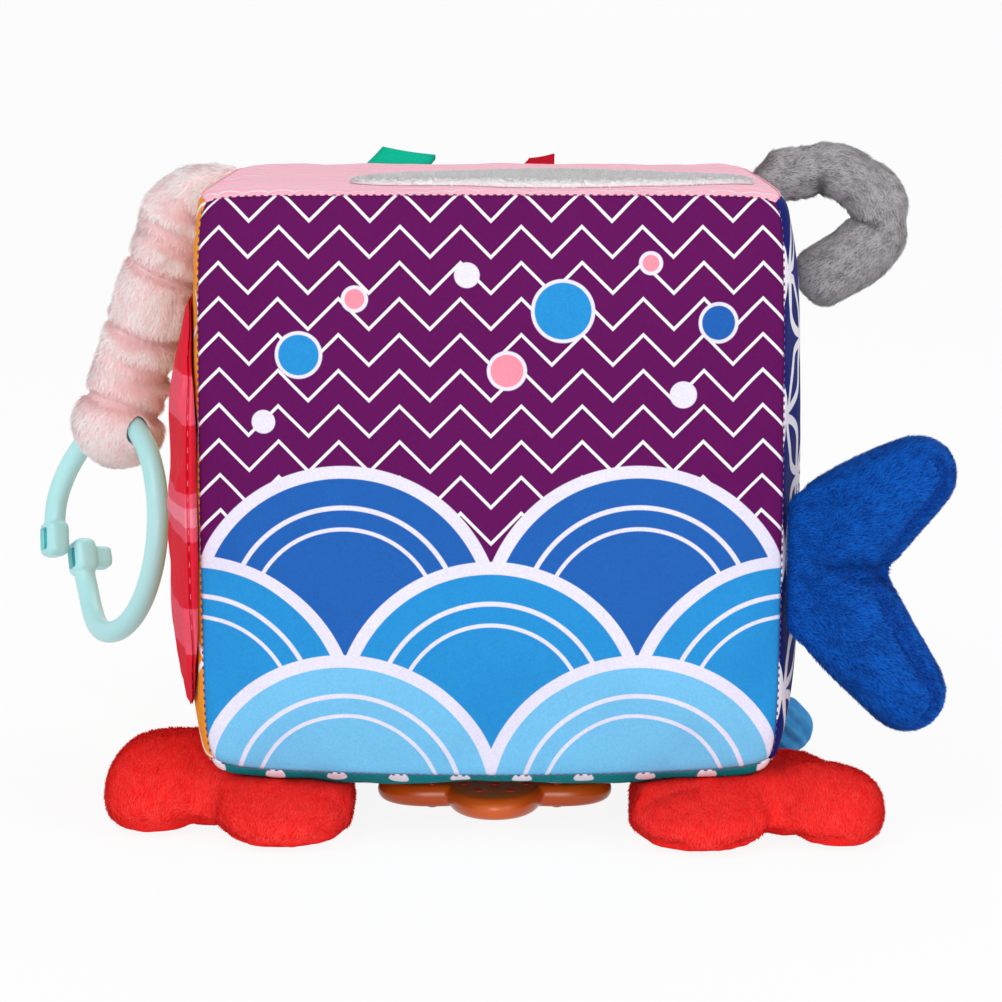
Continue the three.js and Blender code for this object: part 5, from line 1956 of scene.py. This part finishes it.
# %% Teether
STAR_ARMS = 5
STAR_TIP = 33 * MM
STAR_WAIST = 22 * MM
STAR_THICK = 6 * MM
STAR_ARM = math.radians(54)
STAR_FULLNESS = 0.62
STAR_STEPS = 200
SLOT_RIM = 4.5 * MM
SLOT = np.array([2.6, 9.0, 20.0]) * MM
SLOT_CLEAR = 7 * MM
BUMP_RADIUS = 1.6 * MM
BUMP_PITCH = 8.4 * MM
BUMP_ROW = math.sqrt(3) / 2
star_middle = middle_of("teether")
star_way = np.array([math.cos(STAR_ARM), math.sin(STAR_ARM), 0])
star_side = np.array([-math.sin(STAR_ARM), math.cos(STAR_ARM), 0])
star_middle[:2] = (pivot("teether_swing") - star_way * (STAR_TIP - SLOT_RIM / 2))[:2]
slot_place = star_middle + star_way * (STAR_TIP - SLOT_RIM - SLOT[0] / 2)


def star_reach(angle):
    """Distance from the middle to the edge of a star with broad round arms."""
    arm = (0.5 + 0.5 * np.cos(STAR_ARMS * (angle - STAR_ARM))) ** STAR_FULLNESS
    return STAR_WAIST + (STAR_TIP - STAR_WAIST) * arm


def in_star(place, margin):
    """Whether a place from the star's middle lies further than a margin inside its edge."""
    return np.hypot(*place) < star_reach(math.atan2(place[1], place[0])) - margin


def star_solid(material):
    """Flat star with a round edge."""
    angle = full_turn(STAR_STEPS)
    edge = STAR_THICK / 2
    reach = star_reach(angle) - edge
    bend = np.linspace(math.pi / 2, -math.pi / 2, 13)
    rings = [(reach * share, edge) for share in (0.35, 0.7)]
    rings += [(reach + edge * math.cos(a), edge * math.sin(a)) for a in bend]
    rings += [(reach * share, -edge) for share in (0.7, 0.35)]
    points = np.array([
        np.column_stack([out * np.cos(angle), out * np.sin(angle), np.full(STAR_STEPS, height)])
        for out, height in rings
    ])
    up = np.array([0, 0, edge])
    return closed_rings(
        "star_teether", star_middle + points, star_middle + up, star_middle - up, material)


def bump_places():
    """Places of the bumps in rows on both sides of the star, clear of its edge and its slot."""
    places = []
    count = int(STAR_TIP / BUMP_PITCH) + 1
    for i in range(-count, count + 1):
        for j in range(-count, count + 1):
            place = np.array([(i + 0.5 * (j % 2)) * BUMP_PITCH, j * BUMP_PITCH * BUMP_ROW])
            near_slot = np.linalg.norm(place - (slot_place - star_middle)[:2]) < SLOT_CLEAR
            if in_star(place, 0.75 * STAR_THICK) and not near_slot:
                for side in (-1, 1):
                    places.append(star_middle + np.array([*place, side * STAR_THICK / 2]))
    return places


def bump_tree():
    tree, given, out = new_tree("gum_bumps", {"Radius": NUMBER, "Rubber": MATERIAL})
    dome = result(tree, "GeometryNodeMeshIcoSphere", Radius=given("Radius"), Subdivisions=2)
    bumps = result(
        tree, "GeometryNodeInstanceOnPoints", Points=given("Geometry"), Instance=dome,
        Scale=(1.0, 1.0, 0.3))
    return end_tree(tree, out, bumps, given("Rubber"))


def add_teether():
    star = star_solid(plastic("amber_silicone", srgb(204, 66, 6), srgb(232, 112, 28), 0.28))
    star.data.materials.append(plastic("pale_silicone", srgb(222, 92, 34), srgb(240, 140, 84), 0.3))
    for face in star.data.polygons:
        spread = np.array(face.center) - star_middle
        face.material_index = int(in_star(spread[:2], 0.6 * STAR_THICK))
    axes = (star_way, star_side, np.array([0, 0, 1.0]))
    cut_out(star, rounded_box("slot", SLOT, slot_place, axes, 0.8 * MM))
    put_on(star, "teether", "orange_silicone", "teether")
    bumps = new_object("gum_bumps", bump_places(), [])
    rubber = plastic("orange_bumps", srgb(172, 36, 10), srgb(200, 52, 20), 0.35)
    run_tree(bumps, bump_tree(), Radius=BUMP_RADIUS, Rubber=rubber)
    put_on(bumps, "teether", "orange_silicone")


add_teether()

# %% Ribbon loop
RIBBON_WIDTH = 7.5 * MM
RIBBON_THICK = 0.7 * MM
RIBBON_STRAP = 4 * MM
RIBBON_FLOOR = 0.45 * MM
RIBBON_CORNER = 0.8 * MM
RIBBON_ROOM = 1.5 * MM
STRAP_HALF = 0.4 * MM


def add_ribbon():
    top = pivot("teether_swing")
    half = (SLOT_RIM + RIBBON_ROOM) / 2
    lowest = RIBBON_FLOOR + RIBBON_THICK / 2
    floor = lowest - top[2]
    side = [
        (STRAP_HALF, -0.1 * MM), (STRAP_HALF, -RIBBON_STRAP), (half, -RIBBON_STRAP - half),
        (half, floor + RIBBON_CORNER), (half - RIBBON_CORNER, floor),
    ]
    outline = [(-x, z) for x, z in side] + side[::-1]
    path = smooth_path([top + star_way * x + np.array([0, 0, z]) for x, z in outline], 60)[0]
    path[:, 2] = np.maximum(path[:, 2], lowest)
    rows = [[point + star_side * RIBBON_WIDTH * s for s in np.linspace(-0.5, 0.5, 5)] for point in path]
    navy = ribbon_material("navy_ribbon", srgb(18, 28, 84), srgb(44, 58, 132))
    ribbon, wide, length = strip("ribbon_loop", path, rows, RIBBON_THICK, navy)
    put_on(ribbon, "teether", "navy_ribbon", "teether_ribbon")


add_ribbon()
